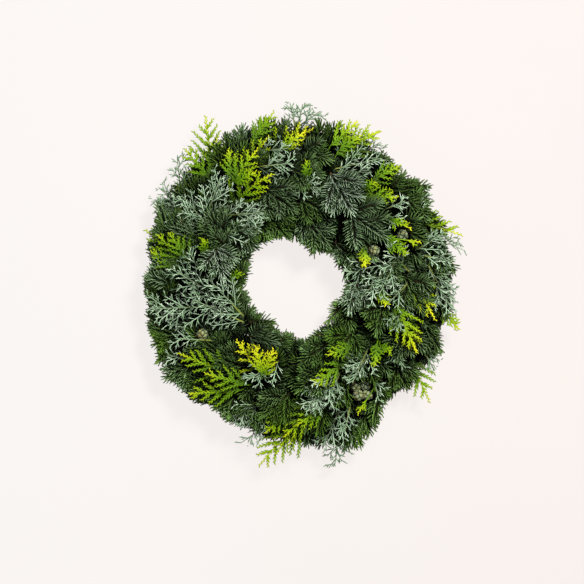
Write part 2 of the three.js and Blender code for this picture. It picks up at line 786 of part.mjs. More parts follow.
for (const [name, { kind, curve, line, item }] of stems) {
  if (kind === "gold") placeGold(name, curve, item);
  else placeLine(name, line, kind === "fir" ? FIR.stemRadius : BLUE.stemRadius);
}
addMesh("straw_ring", straw.geometry, "straw");
CONES.forEach((cone, i) => {
  const seat = coneSeat(cone);
  const name = numbered("cypress_cones", i);
  for (const offset of cone.offsets) {
    const centre = seat.clone().add(new THREE.Vector3(...offset));
    rods.push(makeRod(name, centre, centre.clone().addScaledVector(UP, 0.1), CONE.radius, CONE.radius));
  }
  addMesh(name, coneCluster(cone.offsets).translate(...seat), "cone");
});
addMesh("binding_wire", bindingWire(), "wire");
placeLine("straw_ring", ringLine(), STRAW_RADIUS);

const firSprays = new Map();
[...stems].forEach(([name, { kind, line, row }], salt) => {
  if (kind === "fir") firSprays.set(name, firShoot(name, line, row, salt));
});
[...stems].forEach(([name, { kind, curve, line, seat, item }], salt) => {
  if (kind === "gold") addMesh(name, goldSpray(curve, item), "gold");
  if (kind === "blue") addMesh(name, blueShoot(name, line, seat, salt).geometry(), "blue");
});
[...firSprays].forEach(([name, spray], salt) => {
  addNeedles(spray, salt);
  addMesh(name, spray.shoot.geometry(), "fir");
});

// The origin lies on the floor under the middle of the whole.
const middle = new THREE.Box3().setFromObject(wreath).getCenter(new THREE.Vector3());
for (const mesh of wreath.children) mesh.position.set(-middle.x, -middle.y, 0);

export default wreath;
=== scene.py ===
import math

import bpy
import numpy as np
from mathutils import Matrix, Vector


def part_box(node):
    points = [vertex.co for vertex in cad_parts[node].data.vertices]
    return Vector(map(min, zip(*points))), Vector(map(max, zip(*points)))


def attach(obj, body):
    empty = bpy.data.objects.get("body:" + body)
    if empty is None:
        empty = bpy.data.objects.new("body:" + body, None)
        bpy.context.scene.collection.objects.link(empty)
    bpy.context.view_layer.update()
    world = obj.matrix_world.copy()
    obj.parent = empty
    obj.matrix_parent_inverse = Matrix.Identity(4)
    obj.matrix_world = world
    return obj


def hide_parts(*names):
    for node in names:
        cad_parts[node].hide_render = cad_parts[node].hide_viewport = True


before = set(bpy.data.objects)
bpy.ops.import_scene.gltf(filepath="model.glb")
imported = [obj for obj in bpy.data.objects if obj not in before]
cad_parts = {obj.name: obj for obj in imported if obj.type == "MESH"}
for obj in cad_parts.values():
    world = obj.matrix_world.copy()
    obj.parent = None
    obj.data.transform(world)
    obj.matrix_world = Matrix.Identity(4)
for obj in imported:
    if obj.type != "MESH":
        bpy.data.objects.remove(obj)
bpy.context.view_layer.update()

LOW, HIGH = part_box("straw_ring")
RING = np.array([(LOW[0] + HIGH[0]) / 2, (LOW[1] + HIGH[1]) / 2, 0.0])  # middle of the ring, on the floor
UP = np.array([0.0, 0.0, 1.0])

# ---- Sizes, in millimetres from the middle of the ring, and degrees ----

RING_RADIUS = 150
STRAW_RADIUS = 17.5
WAIST_RADIUS = 15.8  # of the straw under the wire
STRAW_SIDES = 8
WIRE_TURNS = 16
BOUND = 9  # from a stem's cut end to the turn of wire that holds it
SEAT_GAP = 0.4
RIM = math.cos(math.pi / STRAW_SIDES)
RING_HEIGHT = STRAW_RADIUS * RIM
CROWN, DROP, DROP_WIDTH = 78, 44, 130  # height of the body's top, how far it falls to its edges, and over what width
FOOT_BACK, FOOT_DOWN, TIP_UP = 15, 10, 4  # a spray's root behind its foot, and its foot and tip against the top
PIXEL = 1.6  # size of one pixel of the front view
CENTRE_PIXEL = (297.5, 288)

FIR_STEM, BLUE_STEM, GOLD_STEM = 1.6, 1.4, 1.3
FIR_BARE, NEEDLE = 14, 19  # bare foot of a fir spray, and length of a needle
VARY_BEARING, VARY_RADIUS, VARY_HEIGHT = 2, 4, 3
DARK_CELL, DARK_START, DARK_DEPTH = 4, 1, 16  # grid and depths over which painted shade darkens the foliage inwards

# Bearing and radius of the edge of the hole and of the outer edge of the fir.
HOLE_EDGE = np.array([
    (19, 56), (50, 70), (91, 73), (112, 56), (140, 66), (170, 78), (183, 74), (225, 62), (255, 75), (280, 79),
    (317, 92), (353, 77)])
OUTER_EDGE = np.array([
    (15, 278), (35, 255), (52, 266), (58, 258), (82, 256), (104, 244), (114, 250), (131, 240), (144, 232), (150, 266),
    (160, 277), (176, 254), (200, 242), (216, 240), (236, 260), (248, 253), (279, 244), (288, 254), (300, 262),
    (332, 266), (337, 279), (341, 283)])

# name, count, first bearing, seat, knee, tip, splay, oval, side twigs. A knee or tip is how far round it is from the
# root, its radius and its height; a side twig is its place on the stem (0 to 1), its side and its length.
FIR_ROWS = [
    ("fir_outer", 11, 6, 5, (13, 194, 24), (33, 240, 32), 0, 12,
     [(0.27, 1, 56), (0.42, -1, 56), (0.16, -1, 44), (0.56, 1, 46), (0.66, -1, 38), (0.78, 1, 26)]),
    ("fir_inner", 7, 20, 175, (16, 120, 27), (44, 101, 36), 0, 0,
     [(0.3, -1, 40), (0.5, 1, 34), (0.2, 1, 34), (0.42, 1, 32), (0.64, -1, 28), (0.76, 1, 22)]),
    ("fir_top", 8, 14, 90, (12, 152, 52), (36, 160, 64), 26, 0,
     [(0.34, 1, 44), (0.46, -1, 44), (0.24, -1, 40), (0.58, 1, 38), (0.68, -1, 32), (0.8, 1, 24)]),
]

# foot x, foot y, tip x, tip y, lift over the body's top, seat
BLUE_SPRAYS = [
    (-185, 107, -193, 214, 4, 50), (-148, 104, -121, 178, 4, 70), (-113, 115, -54, 118, 6, 130),
    (-66, 192, 1, 227, 0, 60), (60, 189, 135, 235, 2, 60), (190, 61, 262, 72, 6, 60),
    (151, 45, 74, 19, 8, 160), (209, 37, 254, -24, 0, 40), (162, -59, 158, -122, 0, 70),
    (62, -138, 14, -189, 6, 70), (73, -179, 60, -285, 0, 50), (-58, -176, -76, -251, 4, 50),
    (-124, -78, -236, -32, 0, 60), (-131, -13, -172, 60, 12, 30),
]
# and for gold how yellow (0 to 1)
GOLD_SPRAYS = [
    (-140, 186, -148, 278, 0, 32, 0.5), (-105, 170, -46, 240, 8, 90, 0.55), (-113, 147, -39, 179, 12, 150, 0.55),
    (-44, 226, 26, 254, 4, 50, 0.7), (54, 232, 132, 251, 2, 40, 0.55), (97, 146, 158, 144, 4, 70, 0.48),
    (190, 110, 263, 85, 2, 40, 0.55), (185, 14, 218, -51, 8, 80, 0.7), (154, -24, 188, -102, 10, 40, 0.6),
    (185, -118, 212, -184, 4, 60, 0.5), (10, -198, -62, -286, 4, 60, 0.52), (-102, -141, -190, -102, 14, 60, 0.46),
    (-60, -141, -97, -82, 8, 120, 0.85), (-178, 45, -244, 93, 4, 60, 0.4),
]
# blue spray, place on it (0 to 1), and how far each cone is from there
CONES = [
    (10, 0.3, [(0, 0, 0), (16, 2, 2), (4, -14, 5), (19, -13, 3)]),
    (6, 0.45, [(0, 0, 0)]), (5, 0.42, [(0, 0, 0)]), (12, 0.42, [(0, 0, 0)]),
]

# Sprays that fill the wreath up, by pixels of the front view: foot x, foot y, tip x, tip y, lift,
# for fir how frosted (0 to 1, and more for the palest) and how bright its green is (0 to 1), and for gold how yellow.
FIR_FILL = [
    (232, 178, 226, 138, -6, 0.15, 0.1), (240, 152, 242, 123, -6, 0.7, 0.4), (268, 150, 285, 124, -8, 0.3, 0.1),
    (172, 245, 160, 206, -4, 0.5, 0.8), (205, 242, 173, 229, -4, 0.7, 0.4), (224, 240, 211, 213, 0, 0.6, 0.1),
    (216, 246, 224, 276, 13, 1.4, 0.9), (228, 250, 214, 234, 4, 0.6, 0.4), (238, 242, 254, 226, 2, 0.6, 0.3),
    (262, 188, 293, 210, -2, 0.6, 0.2), (264, 214, 290, 240, -8, 0.4, 0.7), (250, 212, 268, 236, -8, 0.4, 0.6),
    (232, 230, 256, 247, -8, 0.9, 0.4), (158, 292, 149, 250, -4, 0.5, 0.8), (172, 288, 160, 258, -2, 0.8, 0.8),
    (322, 148, 340, 123, -6, 0.3, 0.4), (300, 150, 327, 160, -2, 0.5, 0.5), (366, 164, 389, 157, -8, 0.3, 0.2),
    (386, 190, 430, 187, -6, 0.3, 0.4), (408, 208, 434, 202, -6, 0.5, 0.6), (330, 174, 350, 212, 7, 1.0, 0.4),
    (345, 212, 384, 238, 2, 0.8, 0.3), (298, 198, 325, 212, -2, 0.5, 0.5), (300, 214, 326, 244, -6, 0.7, 0.3),
    (322, 230, 312, 252, -12, 0.3, 0.7), (335, 243, 358, 262, -4, 0.7, 0.4), (350, 252, 342, 289, -12, 0.1, 0.2),
    (428, 240, 454, 270, -8, 0.2, 0.3), (357, 282, 349, 309, 8, 1.0, 0.6), (346, 300, 320, 330, -6, 0.4, 0.7),
    (320, 334, 300, 342, -12, 0.2, 0.2), (326, 344, 304, 360, -2, 0.5, 0.6), (438, 284, 446, 320, -10, 0.3, 0.2),
    (424, 324, 440, 350, -8, 0.4, 0.2), (396, 364, 408, 390, -8, 0.3, 0.1), (382, 380, 374, 418, -4, 0.3, 0.6),
    (366, 412, 371, 446, -8, 0.3, 0.8), (352, 420, 345, 450, -10, 0.2, 0.6), (322, 372, 300, 388, 0, 0.4, 0.7),
    (312, 416, 306, 442, -14, 0.5, 0.3), (168, 308, 154, 282, -8, 0.3, 0.5), (180, 334, 151, 346, -8, 0.2, 0.7),
    (174, 346, 158, 361, -8, 0.2, 0.7), (194, 362, 166, 379, -8, 0.6, 0.6), (236, 394, 211, 412, -8, 0.4, 0.6),
    (262, 404, 241, 424, -8, 0.3, 0.4), (290, 392, 264, 414, -4, 0.3, 0.5), (250, 322, 278, 322, -6, 0.3, 0.4),
    (248, 336, 274, 342, -4, 0.7, 0.1), (272, 346, 288, 336, -8, 0.5, 0.8), (212, 300, 236, 290, -8, 0.3, 0.3),
    (230, 286, 246, 268, -8, 0.4, 0.4), (282, 372, 262, 356, -4, 0.4, 0.4), (196, 210, 186, 178, -10, 0.3, 0.2),
    (290, 170, 318, 178, -2, 0.6, 0.3), (356, 230, 372, 256, -2, 0.6, 0.4), (376, 262, 392, 290, -4, 0.5, 0.3),
    (384, 300, 376, 330, -2, 0.4, 0.5), (352, 330, 336, 356, -2, 0.3, 0.6), (404, 276, 420, 310, -6, 0.5, 0.3),
    (410, 326, 398, 356, -4, 0.6, 0.2), (366, 356, 352, 384, -2, 0.3, 0.5), (346, 372, 322, 400, -4, 0.3, 0.4),
    (330, 404, 296, 420, -6, 0.3, 0.6), (216, 350, 190, 330, -6, 0.3, 0.4), (212, 386, 188, 376, -10, 0.3, 0.6),
    (244, 366, 216, 356, -6, 0.4, 0.3), (196, 268, 182, 238, -8, 0.4, 0.3), (396, 226, 422, 240, -6, 0.4, 0.3),
    (252, 172, 276, 160, -8, 0.3, 0.2), (218, 166, 214, 142, -14, 0.1, 0.2),
]
BLUE_FILL = [
    (205, 223, 222, 177, 4), (190, 214, 158, 187, 0), (196, 226, 160, 202, -2), (227, 216, 264, 214, 4),
    (256, 168, 292, 165, 2), (298, 126, 321, 110, -2), (296, 130, 290, 102, -2), (297, 128, 303, 103, -2),
    (335, 170, 382, 159, 4), (336, 172, 371, 174, 0), (295, 186, 321, 190, 2), (382, 211, 404, 202, 4),
    (384, 213, 400, 226, 2), (411, 204, 430, 199, -4), (416, 250, 443, 233, 0), (392, 262, 359, 300, 6),
    (394, 262, 377, 296, 6), (428, 266, 452, 311, -2), (336, 374, 307, 405, 6), (423, 350, 435, 371, -8),
    (370, 354, 345, 378, 4), (343, 400, 323, 448, -6), (261, 398, 230, 420, -4), (280, 360, 246, 380, 6),
    (218, 306, 152, 309, 6), (218, 296, 171, 268, 6), (244, 316, 209, 278, 8), (190, 360, 168, 354, 0),
    (212, 340, 176, 338, 2), (404, 300, 392, 330, 4), (222, 234, 260, 228, 4), (216, 234, 182, 196, 2),
    (408, 272, 384, 247, 2), (406, 284, 384, 306, 4), (330, 384, 312, 410, 4), (244, 322, 196, 300, 4),
    (424, 256, 452, 262, 0), (262, 152, 288, 150, 4), (432, 276, 440, 306, 0), (366, 350, 351, 382, 6),
    (340, 370, 326, 404, 6), (372, 372, 378, 400, 2), (350, 404, 344, 432, 2),
]
GOLD_FILL = [
    (210, 180, 184, 148, -4, 0.45), (212, 176, 217, 137, -4, 0.5), (232, 184, 258, 151, 6, 0.55),
    (234, 184, 257, 174, 8, 0.5), (232, 182, 229, 150, 4, 0.5), (250, 146, 274, 112, 6, 0.4),
    (256, 140, 266, 116, 4, 0.4), (280, 150, 305, 133, 4, 0.75), (336, 156, 380, 131, 0, 0.5),
    (370, 182, 400, 166, 0, 0.42), (358, 197, 396, 199, 4, 0.45), (360, 190, 375, 184, 6, 0.4),
    (388, 220, 409, 230, 6, 0.6), (383, 238, 418, 243, 8, 0.55), (385, 240, 406, 255, 8, 0.4),
    (364, 246, 364, 268, 4, 0.7), (380, 288, 384, 306, 2, 0.6), (394, 303, 415, 352, 6, 0.65),
    (442, 310, 459, 329, -8, 0.6), (376, 342, 373, 364, 6, 0.4), (378, 344, 389, 350, 4, 0.4),
    (352, 346, 327, 354, 2, 0.45), (342, 363, 311, 384, 6, 0.5), (375, 384, 357, 412, 2, 0.5),
    (304, 412, 275, 455, -4, 0.5), (302, 410, 290, 444, -6, 0.45), (292, 408, 265, 432, -2, 0.45),
    (242, 389, 189, 393, 2, 0.5), (262, 374, 256, 344, 8, 0.85), (264, 376, 274, 347, 6, 0.85),
    (186, 262, 158, 235, 2, 0.38), (190, 262, 170, 233, 4, 0.36), (206, 257, 206, 240, 6, 0.38),
    (228, 280, 242, 272, -2, 0.3), (306, 180, 306, 163, 4, 0.35), (180, 268, 152, 252, 0, 0.4),
    (330, 147, 358, 121, 6, 0.62), (338, 152, 361, 136, 4, 0.5), (326, 404, 296, 424, 2, 0.45),
    (318, 402, 284, 436, 0, 0.5), (248, 384, 206, 372, 4, 0.46),
]


# ---- Lines ----

def jitter(item, use):
    wave = math.sin(item * 12.9898 + use * 78.233) * 43758.5453
    return 2 * (wave - math.floor(wave)) - 1


def around(bearing, radius, height):
    angle = math.radians(bearing)
    return np.array([radius * math.sin(angle), radius * math.cos(angle), height])


def bearing_of(x, y):
    return math.degrees(math.atan2(x, y))


def beside_ring(bearing, seat, distance):
    out = distance * math.cos(math.radians(seat))
    return around(bearing, RING_RADIUS + out, RING_HEIGHT + distance * math.sin(math.radians(seat)))


def on_top(x, y, above):
    """A point so far above the top of the wreath's body."""
    off = min(1, abs(math.hypot(x, y) - RING_RADIUS) / DROP_WIDTH)
    return np.array([x, y, CROWN - DROP * off ** 2 + above])


def cut_end(bearing, seat, thickness):
    """Where a stem's cut end lies on the straw, a little before the turn of wire that holds it."""
    turn = 360 / WIRE_TURNS
    lead = math.degrees(BOUND / RING_RADIUS)
    screw = (seat - 180 / STRAW_SIDES) / 360
    held = turn * (math.floor(bearing / turn - screw + 0.5) + screw)
    corner = WAIST_RADIUS + (STRAW_RADIUS - WAIST_RADIUS) * lead * 3 / turn
    side = 360 / STRAW_SIDES
    off_flat = (seat + side / 2) % side - side / 2
    return beside_ring(held - lead, seat, corner * RIM / math.cos(math.radians(off_flat)) + SEAT_GAP + thickness)


def bezier(root, knee, tip, count):
    t = np.linspace(0, 1, count)[:, None]
    return root * (1 - t) ** 2 + knee * 2 * t * (1 - t) + tip * t ** 2


def cypress_line(spray, thickness):
    *foot, tip_x, tip_y, lift, seat = spray
    root = cut_end(bearing_of(*foot) - FOOT_BACK, seat, thickness)
    return bezier(root, on_top(*foot, lift - FOOT_DOWN), on_top(tip_x, tip_y, lift + TIP_UP), 40)


def fir_line(row, index):
    _, count, first, seat, knee, tip, splay, oval, _ = row
    draws = [jitter(index + count * 7, use) for use in (1, 2, 3, 4)]
    bearing = first + 360 * index / count + VARY_BEARING * draws[0]
    lean = splay * (-1 if index % 2 else 1)
    end = bearing + tip[0] + VARY_BEARING * draws[1]
    reach = tip[1] + lean + oval * math.cos(math.radians(end)) ** 2
    end_point = around(end, reach + VARY_RADIUS * draws[2], tip[2] + VARY_HEIGHT * draws[3])
    knee_point = around(bearing + knee[0], knee[1] + lean / 3, knee[2])
    return bezier(cut_end(bearing, seat, FIR_STEM), knee_point, end_point, 30)


def seat_under(radius):
    """Where round the straw a filling spray starts: 165 on its inner side, 90 on top, 15 on its outer side."""
    return float(np.interp(radius, (110, 150, 190), (165, 90, 15)))


def fill_line(foot_x, foot_y, tip_x, tip_y, lift, high):
    """A spray by its pixels in the front view: up from the straw, then level from its foot to its tip."""
    foot, tip = (on_top((x - CENTRE_PIXEL[0]) * PIXEL, (CENTRE_PIXEL[1] - y) * PIXEL, lift + high + above)
                 for x, y, above in ((foot_x, foot_y, -FOOT_DOWN), (tip_x, tip_y, TIP_UP)))
    radius = math.hypot(*foot[:2])
    back = 0.6 * FOOT_BACK if abs(radius - RING_RADIUS) < 30 else 0.3 * FOOT_BACK
    root = beside_ring(bearing_of(*foot[:2]) - back, seat_under(radius), STRAW_RADIUS)
    rise = bezier(root, root * 0.4 + foot * 0.6 - UP * 4, foot, 15)
    level = bezier(foot, (foot + tip) / 2 + UP * 3, tip, 30)
    return rise, level


def unit(v):
    return v / np.linalg.norm(v, axis=-1, keepdims=True)


def measured(line):
    steps = np.linalg.norm(np.diff(line, axis=0), axis=1)
    return np.concatenate([[0.0], np.cumsum(steps)])


def sample(line, at):
    """Points and directions at distances along a line."""
    way = measured(line)
    point = np.stack([np.interp(at, way, line[:, k]) for k in range(3)], -1)
    tangent = np.gradient(line, axis=0)
    along = unit(np.stack([np.interp(at, way, tangent[:, k]) for k in range(3)], -1))
    return point, along


def sides_of(along, up=UP):
    """The directions across a line and up from it."""
    across = unit(np.cross(along, up))
    return across, np.cross(across, along)


def side_line(start, along, up, side, angle, length, rise, curve):
    across = np.cross(along, up) * side
    angle, rise = math.radians(angle), math.radians(rise)
    way = along * math.cos(angle) + across * math.sin(angle)
    way = way * math.cos(rise) + up * math.sin(rise)
    s = np.linspace(0, 1, 8)[:, None]
    return start + way * length * s + along * curve * length * s ** 2


def below_surface(rows, columns, values):
    """How far each value is below the highest of its cell in a grid, evened out over the cells around it."""
    grid = np.full((rows.max() + 1, columns.max() + 1), -np.inf)
    np.maximum.at(grid, (rows, columns), values)
    known = np.isfinite(grid)
    grid[~known] = 0
    total, weight = np.zeros(grid.shape), np.zeros(grid.shape)
    for shift in [(i, j) for i in range(-2, 3) for j in range(-2, 3)]:
        total += np.roll(grid, shift, (0, 1))
        weight += np.roll(known, shift, (0, 1))
    return (total / np.maximum(weight, 1))[rows, columns] - values


def depth_inside(points):
    """0 on the surface of the foliage, seen from above, below, outside or the hole, and 1 well inside it."""
    x, y, level = ((points + (400, 400, 40)) / DARK_CELL).astype(int).T
    radius = np.hypot(points[:, 0], points[:, 1])
    bearing = (np.degrees(np.arctan2(points[:, 0], points[:, 1])) % 360 / 2).astype(int)
    gaps = [below_surface(x, y, points[:, 2]), below_surface(x, y, -points[:, 2]),
            below_surface(bearing, level, radius), below_surface(bearing, level, -radius)]
    return np.clip((np.min(gaps, axis=0) - DARK_START) / DARK_DEPTH, 0, 1)


def edges(points):
    """Radii of the hole's edge and the fir's outer edge in the direction of points, and of the points themselves."""
    x, y = points[..., 0], points[..., 1]
    bearing = np.degrees(np.arctan2(x, y)) % 360
    turn = np.radians(bearing)
    inner = np.interp(bearing, HOLE_EDGE[:, 0], HOLE_EDGE[:, 1], period=360) + 2 * np.sin(11 * turn)
    outer = np.interp(bearing, OUTER_EDGE[:, 0], OUTER_EDGE[:, 1], period=360) + 4 * np.sin(23 * turn) - 2
    return inner, outer, np.hypot(x, y)


def kept_length(base, way, length, rng):
    """How much of each length stays between the hole and the outline, from 0 to 1."""
    share = np.ones(len(base))
    loose = rng.uniform(-6, 6, len(base))
    for part in (1.0, 0.8, 0.6, 0.4):
        inner, outer, radius = edges(base + way * (length * part)[:, None])
        outside = (radius > outer + 2 + loose) | (radius < inner + loose)
        share = np.where(outside, part - 0.2, share)
    return share


def over_cones(point):
    """Whether points are above a cone and so hide it."""
    gap = point[:, None] - CONE_TOPS
    return ((np.hypot(gap[..., 0], gap[..., 1]) < 12) & (gap[..., 2] > -6)).any(1)


# ---- Pieces ----

MESHES = []  # each mesh that is made, with its points in millimetres


def new_object(name, data):
    made = bpy.data.objects.new(name, data)
    bpy.context.scene.collection.objects.link(made)
    return made


class Piece:
    """Gathers closed solids and makes one object of them.

    A point's look is how far along its leaf it is, a number drawn for the leaf, how near it is to the leaf's ridge or
    how old it is, and the leaf's tone."""

    def __init__(self, name, slot, materials):
        self.name, self.slot, self.materials = name, slot, materials
        self.verts, self.faces, self.slots, self.looks = [], [], [], []
        self.count = 0
        self.reach = 0

    def holds(self, points):
        """Whether points stay near the outline, or within the reach of the tip of the spray."""
        inner, outer, radius = edges(points)
        loose = 7 * np.sin(1.3 * points[..., 0] + 0.9 * points[..., 1])
        return (radius > inner - 3) & (radius < np.maximum(outer + 7 + loose, self.reach))

    def add(self, verts, faces, slots, *look):
        self.verts.append(verts)
        self.faces.append(faces + self.count)
        self.slots.append(np.broadcast_to(slots, len(faces)))
        self.looks.append(np.stack([np.broadcast_to(part, len(verts)) for part in look], -1))
        self.count += len(verts)

    def make(self, replaced=(), smooth=True):
        verts = np.concatenate(self.verts)
        faces = np.concatenate(self.faces)
        mesh = bpy.data.meshes.new(self.name)
        MESHES.append((mesh, verts))
        mesh.vertices.add(len(verts))
        mesh.vertices.foreach_set("co", (verts / 1000 + RING).ravel())
        mesh.loops.add(faces.size)
        mesh.loops.foreach_set("vertex_index", faces.ravel())
        mesh.polygons.add(len(faces))
        mesh.polygons.foreach_set("loop_start", np.arange(0, faces.size, 3))
        mesh.polygons.foreach_set("material_index", np.concatenate(self.slots).astype(np.int32))
        mesh.polygons.foreach_set("use_smooth", np.full(len(faces), smooth))
        look = mesh.attributes.new("look", "FLOAT_COLOR", "POINT")
        look.data.foreach_set("color", np.concatenate(self.looks).ravel())
        mesh.attributes.new("painted_shade_depth", "FLOAT", "POINT")
        mesh.update(calc_edges=True)
        for material in self.materials:
            mesh.materials.append(material)
        piece = new_object(self.name, mesh)
        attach(piece, "root")
        if replaced:
            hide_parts(*replaced)


def band_faces(rings, corners):
    """Triangles of a closed form of rings that ends in one point, facing out, and the corner each starts at."""
    faces = [(0, k, k + 1, -1) for k in range(1, corners - 1)]
    for ring in range(rings):
        here, there = ring * corners, (ring + 1) * corners
        for k in range(corners):
            after = (k + 1) % corners
            if ring == rings - 1:
                faces.append((here + k, there, here + after, k))
            else:
                faces += [(here + k, there + k, there + after, k), (here + k, there + after, here + after, k)]
    faces = np.array(faces)
    return faces[:, :3], faces[:, 3]


def grow(piece, slots, base, along, up, length, width, depth, bend, profile, angles, chance, tone,
         forward=None, third=None):
    """Many tapering forms at once. slots gives the material slot of each side of the section, angles its corners."""
    clear = ~over_cones(base + along * (length * 0.6)[:, None])
    if piece.reach:
        clear &= piece.holds(base + along * length[:, None])
    base, along, up, length, width, depth, bend, chance, tone = (
        part[clear] for part in (base, along, up, length, width, depth, bend, chance, tone))
    forward = np.zeros_like(base) if forward is None else forward[clear]
    third = None if third is None else third[clear]
    count, corners = len(base), len(angles)
    if count == 0:
        return
    across = np.cross(along, up)
    rings, looks = [], []
    for share, size in profile:
        centre = base + along * (length * share)[:, None] + up * (bend * length * share ** 2)[:, None]
        centre = centre + forward * (length * share ** 2)[:, None]
        for k, angle in enumerate(np.radians(angles)):
            point = centre + across * (math.cos(angle) * width * size / 2)[:, None]
            rings.append(point + up * (math.sin(angle) * depth * size / 2)[:, None])
            ridge = np.full(count, max(0.0, math.sin(angle))) if third is None else third
            looks.append(np.stack([np.full(count, share), chance, ridge, tone], -1))
            if size == 0:
                break
    verts = np.stack(rings, 1)
    faces, sides = band_faces(len(profile) - 1, corners)
    each = verts.shape[1]
    all_faces = (faces[None] + (np.arange(count) * each)[:, None, None]).reshape(-1, 3)
    slot_of = np.array(list(slots) + [slots[0]])[sides]
    piece.add(verts.reshape(-1, 3), all_faces, np.tile(slot_of, count), *np.stack(looks, 1).reshape(-1, 4).T)


def tube(piece, slot, line, radius, end_radius, chance, tone, corners=6, flat=1.0, up=UP, third=(0.5, 0.5)):
    """One form along a line, closed at its foot and pointed at its tip. third goes from its foot to its tip."""
    tangent = unit(np.gradient(line, axis=0))
    across, top = sides_of(tangent, up)
    share = np.linspace(0, 1, len(line))
    size = radius + (end_radius - radius) * share
    rings = [line + across * (math.cos(angle) * size)[:, None] + top * (math.sin(angle) * size * flat)[:, None]
             for angle in 2 * math.pi * np.arange(corners) / corners]
    verts = np.stack(rings, 1)[:-1].reshape(-1, 3)
    verts = np.concatenate([verts, line[-1:] + tangent[-1:] * end_radius])
    share = np.concatenate([np.repeat(share[:-1], corners), [1.0]])
    third = third[0] + (third[1] - third[0]) * share
    faces, _ = band_faces(len(line) - 1, corners)
    piece.add(verts, faces, slot, share, chance, third, tone)


# ---- Fir ----

NEEDLE_PROFILE = [(0, 0.6), (0.3, 1.0), (0.65, 1.0), (0.92, 0.75), (1, 0)]
NEEDLE_ANGLES = (205, 335, 90)
NEEDLE_ROWS = (-12, 192, 26, 154, 64, 116)
ROW_STEP = 4.2
BUD_PROFILE = [(0, 0.7), (0.35, 1.0), (0.75, 0.7), (1, 0)]


def add_needles(piece, line, first, frost, rng):
    """Needles in rows at the sides of a twig and over it, curved forward and closing round its tip."""
    length = measured(line)[-1]
    rows = len(NEEDLE_ROWS)
    count = int((length - first) * rows / ROW_STEP)
    if count < 1:
        return
    at = np.linspace(first, length, count) + rng.uniform(-0.3, 0.3, count)
    point, along = sample(line, at)
    across, top = sides_of(along)
    turn = np.radians(np.array(NEEDLE_ROWS)[(np.arange(count) * 5) % rows] + rng.uniform(-5, 5, count))
    out = across * np.cos(turn)[:, None] + top * np.sin(turn)[:, None]
    to_tip = np.clip((length - at) / 16, 0, 1) ** 0.7
    over = np.clip(np.sin(turn), 0, 1)
    sweep = np.radians(10 + 56 * to_tip - 22 * over ** 2 + rng.uniform(-3, 3, count))
    way = along * np.cos(sweep)[:, None] + out * np.sin(sweep)[:, None]
    size = NEEDLE * (0.7 + 0.3 * to_tip) * (1 - 0.12 * over) * rng.uniform(0.92, 1.06, count)
    size = size * np.clip(length / 30, 0.6, 1)
    size = size * kept_length(point, way, size, rng)
    kept = size > 0.35 * NEEDLE
    point, way, top, size, along, over = (part[kept] for part in (point, way, top, size, along, over))
    count = int(kept.sum())
    face = unit(top - way * (top * way).sum(1)[:, None] + 1e-6)
    width = rng.uniform(1.9, 2.3, count)
    bend = rng.uniform(0.02, 0.14, count)
    # Painted shade: needles in the side rows get half the chance, so darker greens, and less bloom tone than the rows
    # over the twig; a random factor varies it further.
    painted_row_light_and_tone = (0.5 + 0.5 * over) * max(frost, rng.uniform(0.5, 1.1))
    grow(piece, (1, 0, 0), point, way, face, size, width, width * 0.6, bend, NEEDLE_PROFILE, NEEDLE_ANGLES,
         rng.uniform(0, 1, count) * painted_row_light_and_tone, frost * (0.7 + 0.3 * over), forward=along * 0.16)


def add_bud(piece, line, rng):
    point, along = sample(line, measured(line)[-1:] - 1)
    _, up = sides_of(along)
    one = np.ones(1)
    grow(piece, (2, 2, 2, 2, 2), point, along, up, one * 5, one * 3, one * 3, one * 0, BUD_PROFILE,
         range(0, 360, 72), rng.uniform(0, 1, 1), one * 0.9)


def inside_outline(line):
    """The part of a line before it leaves the outline of the wreath."""
    inner, outer, radius = edges(line)
    outside = np.nonzero((radius > outer - 6) | (radius < inner + 6))[0]
    outside = outside[outside > 4]
    return line[:outside[0]] if len(outside) else line


def fir_spray(piece, line, bare, twigs, frost, rng):
    line = inside_outline(line)
    tube(piece, 2, line, FIR_STEM, 0.8, 0.5, 0.3)
    add_needles(piece, line, bare, frost, rng)
    add_bud(piece, line, rng)
    length = measured(line)[-1]
    for share, side, reach in twigs:
        frosted = min(1, max(0, frost + rng.uniform(-0.2, 0.2)))
        (point,), (along,) = sample(line, [share * length])
        _, up = sides_of(along)
        angle, rise = 50 + rng.uniform(-8, 8), rng.uniform(0, 22)
        for _ in range(8):
            twig = side_line(point, along, up, -side, angle, reach, rise, 0.12)
            inner, outer, radius = edges(twig[-1])
            if inner + 10 < radius < outer - 8:
                break
            reach *= 0.85
        if reach < 9 or over_cones(twig).any():
            continue
        tube(piece, 2, twig, 1.1, 0.7, 0.5, 0.3, corners=5)
        add_needles(piece, twig, 2, frosted, rng)
        if rng.uniform() < 0.4:
            add_bud(piece, twig, rng)


# ---- Blue cypress ----

THREAD_PROFILE = [(0, 0.9), (0.5, 1.0), (0.8, 0.85), (1, 0)]
THREADS = {"angle": 40, "flat": 1.0, "spread": 14, "profile": THREAD_PROFILE, "forks": 2}
SQUARE, ALL_LEAF = (0, 90, 180, 270), (0, 0, 0, 0)  # the corners of a branchlet's section, its sides' material slots


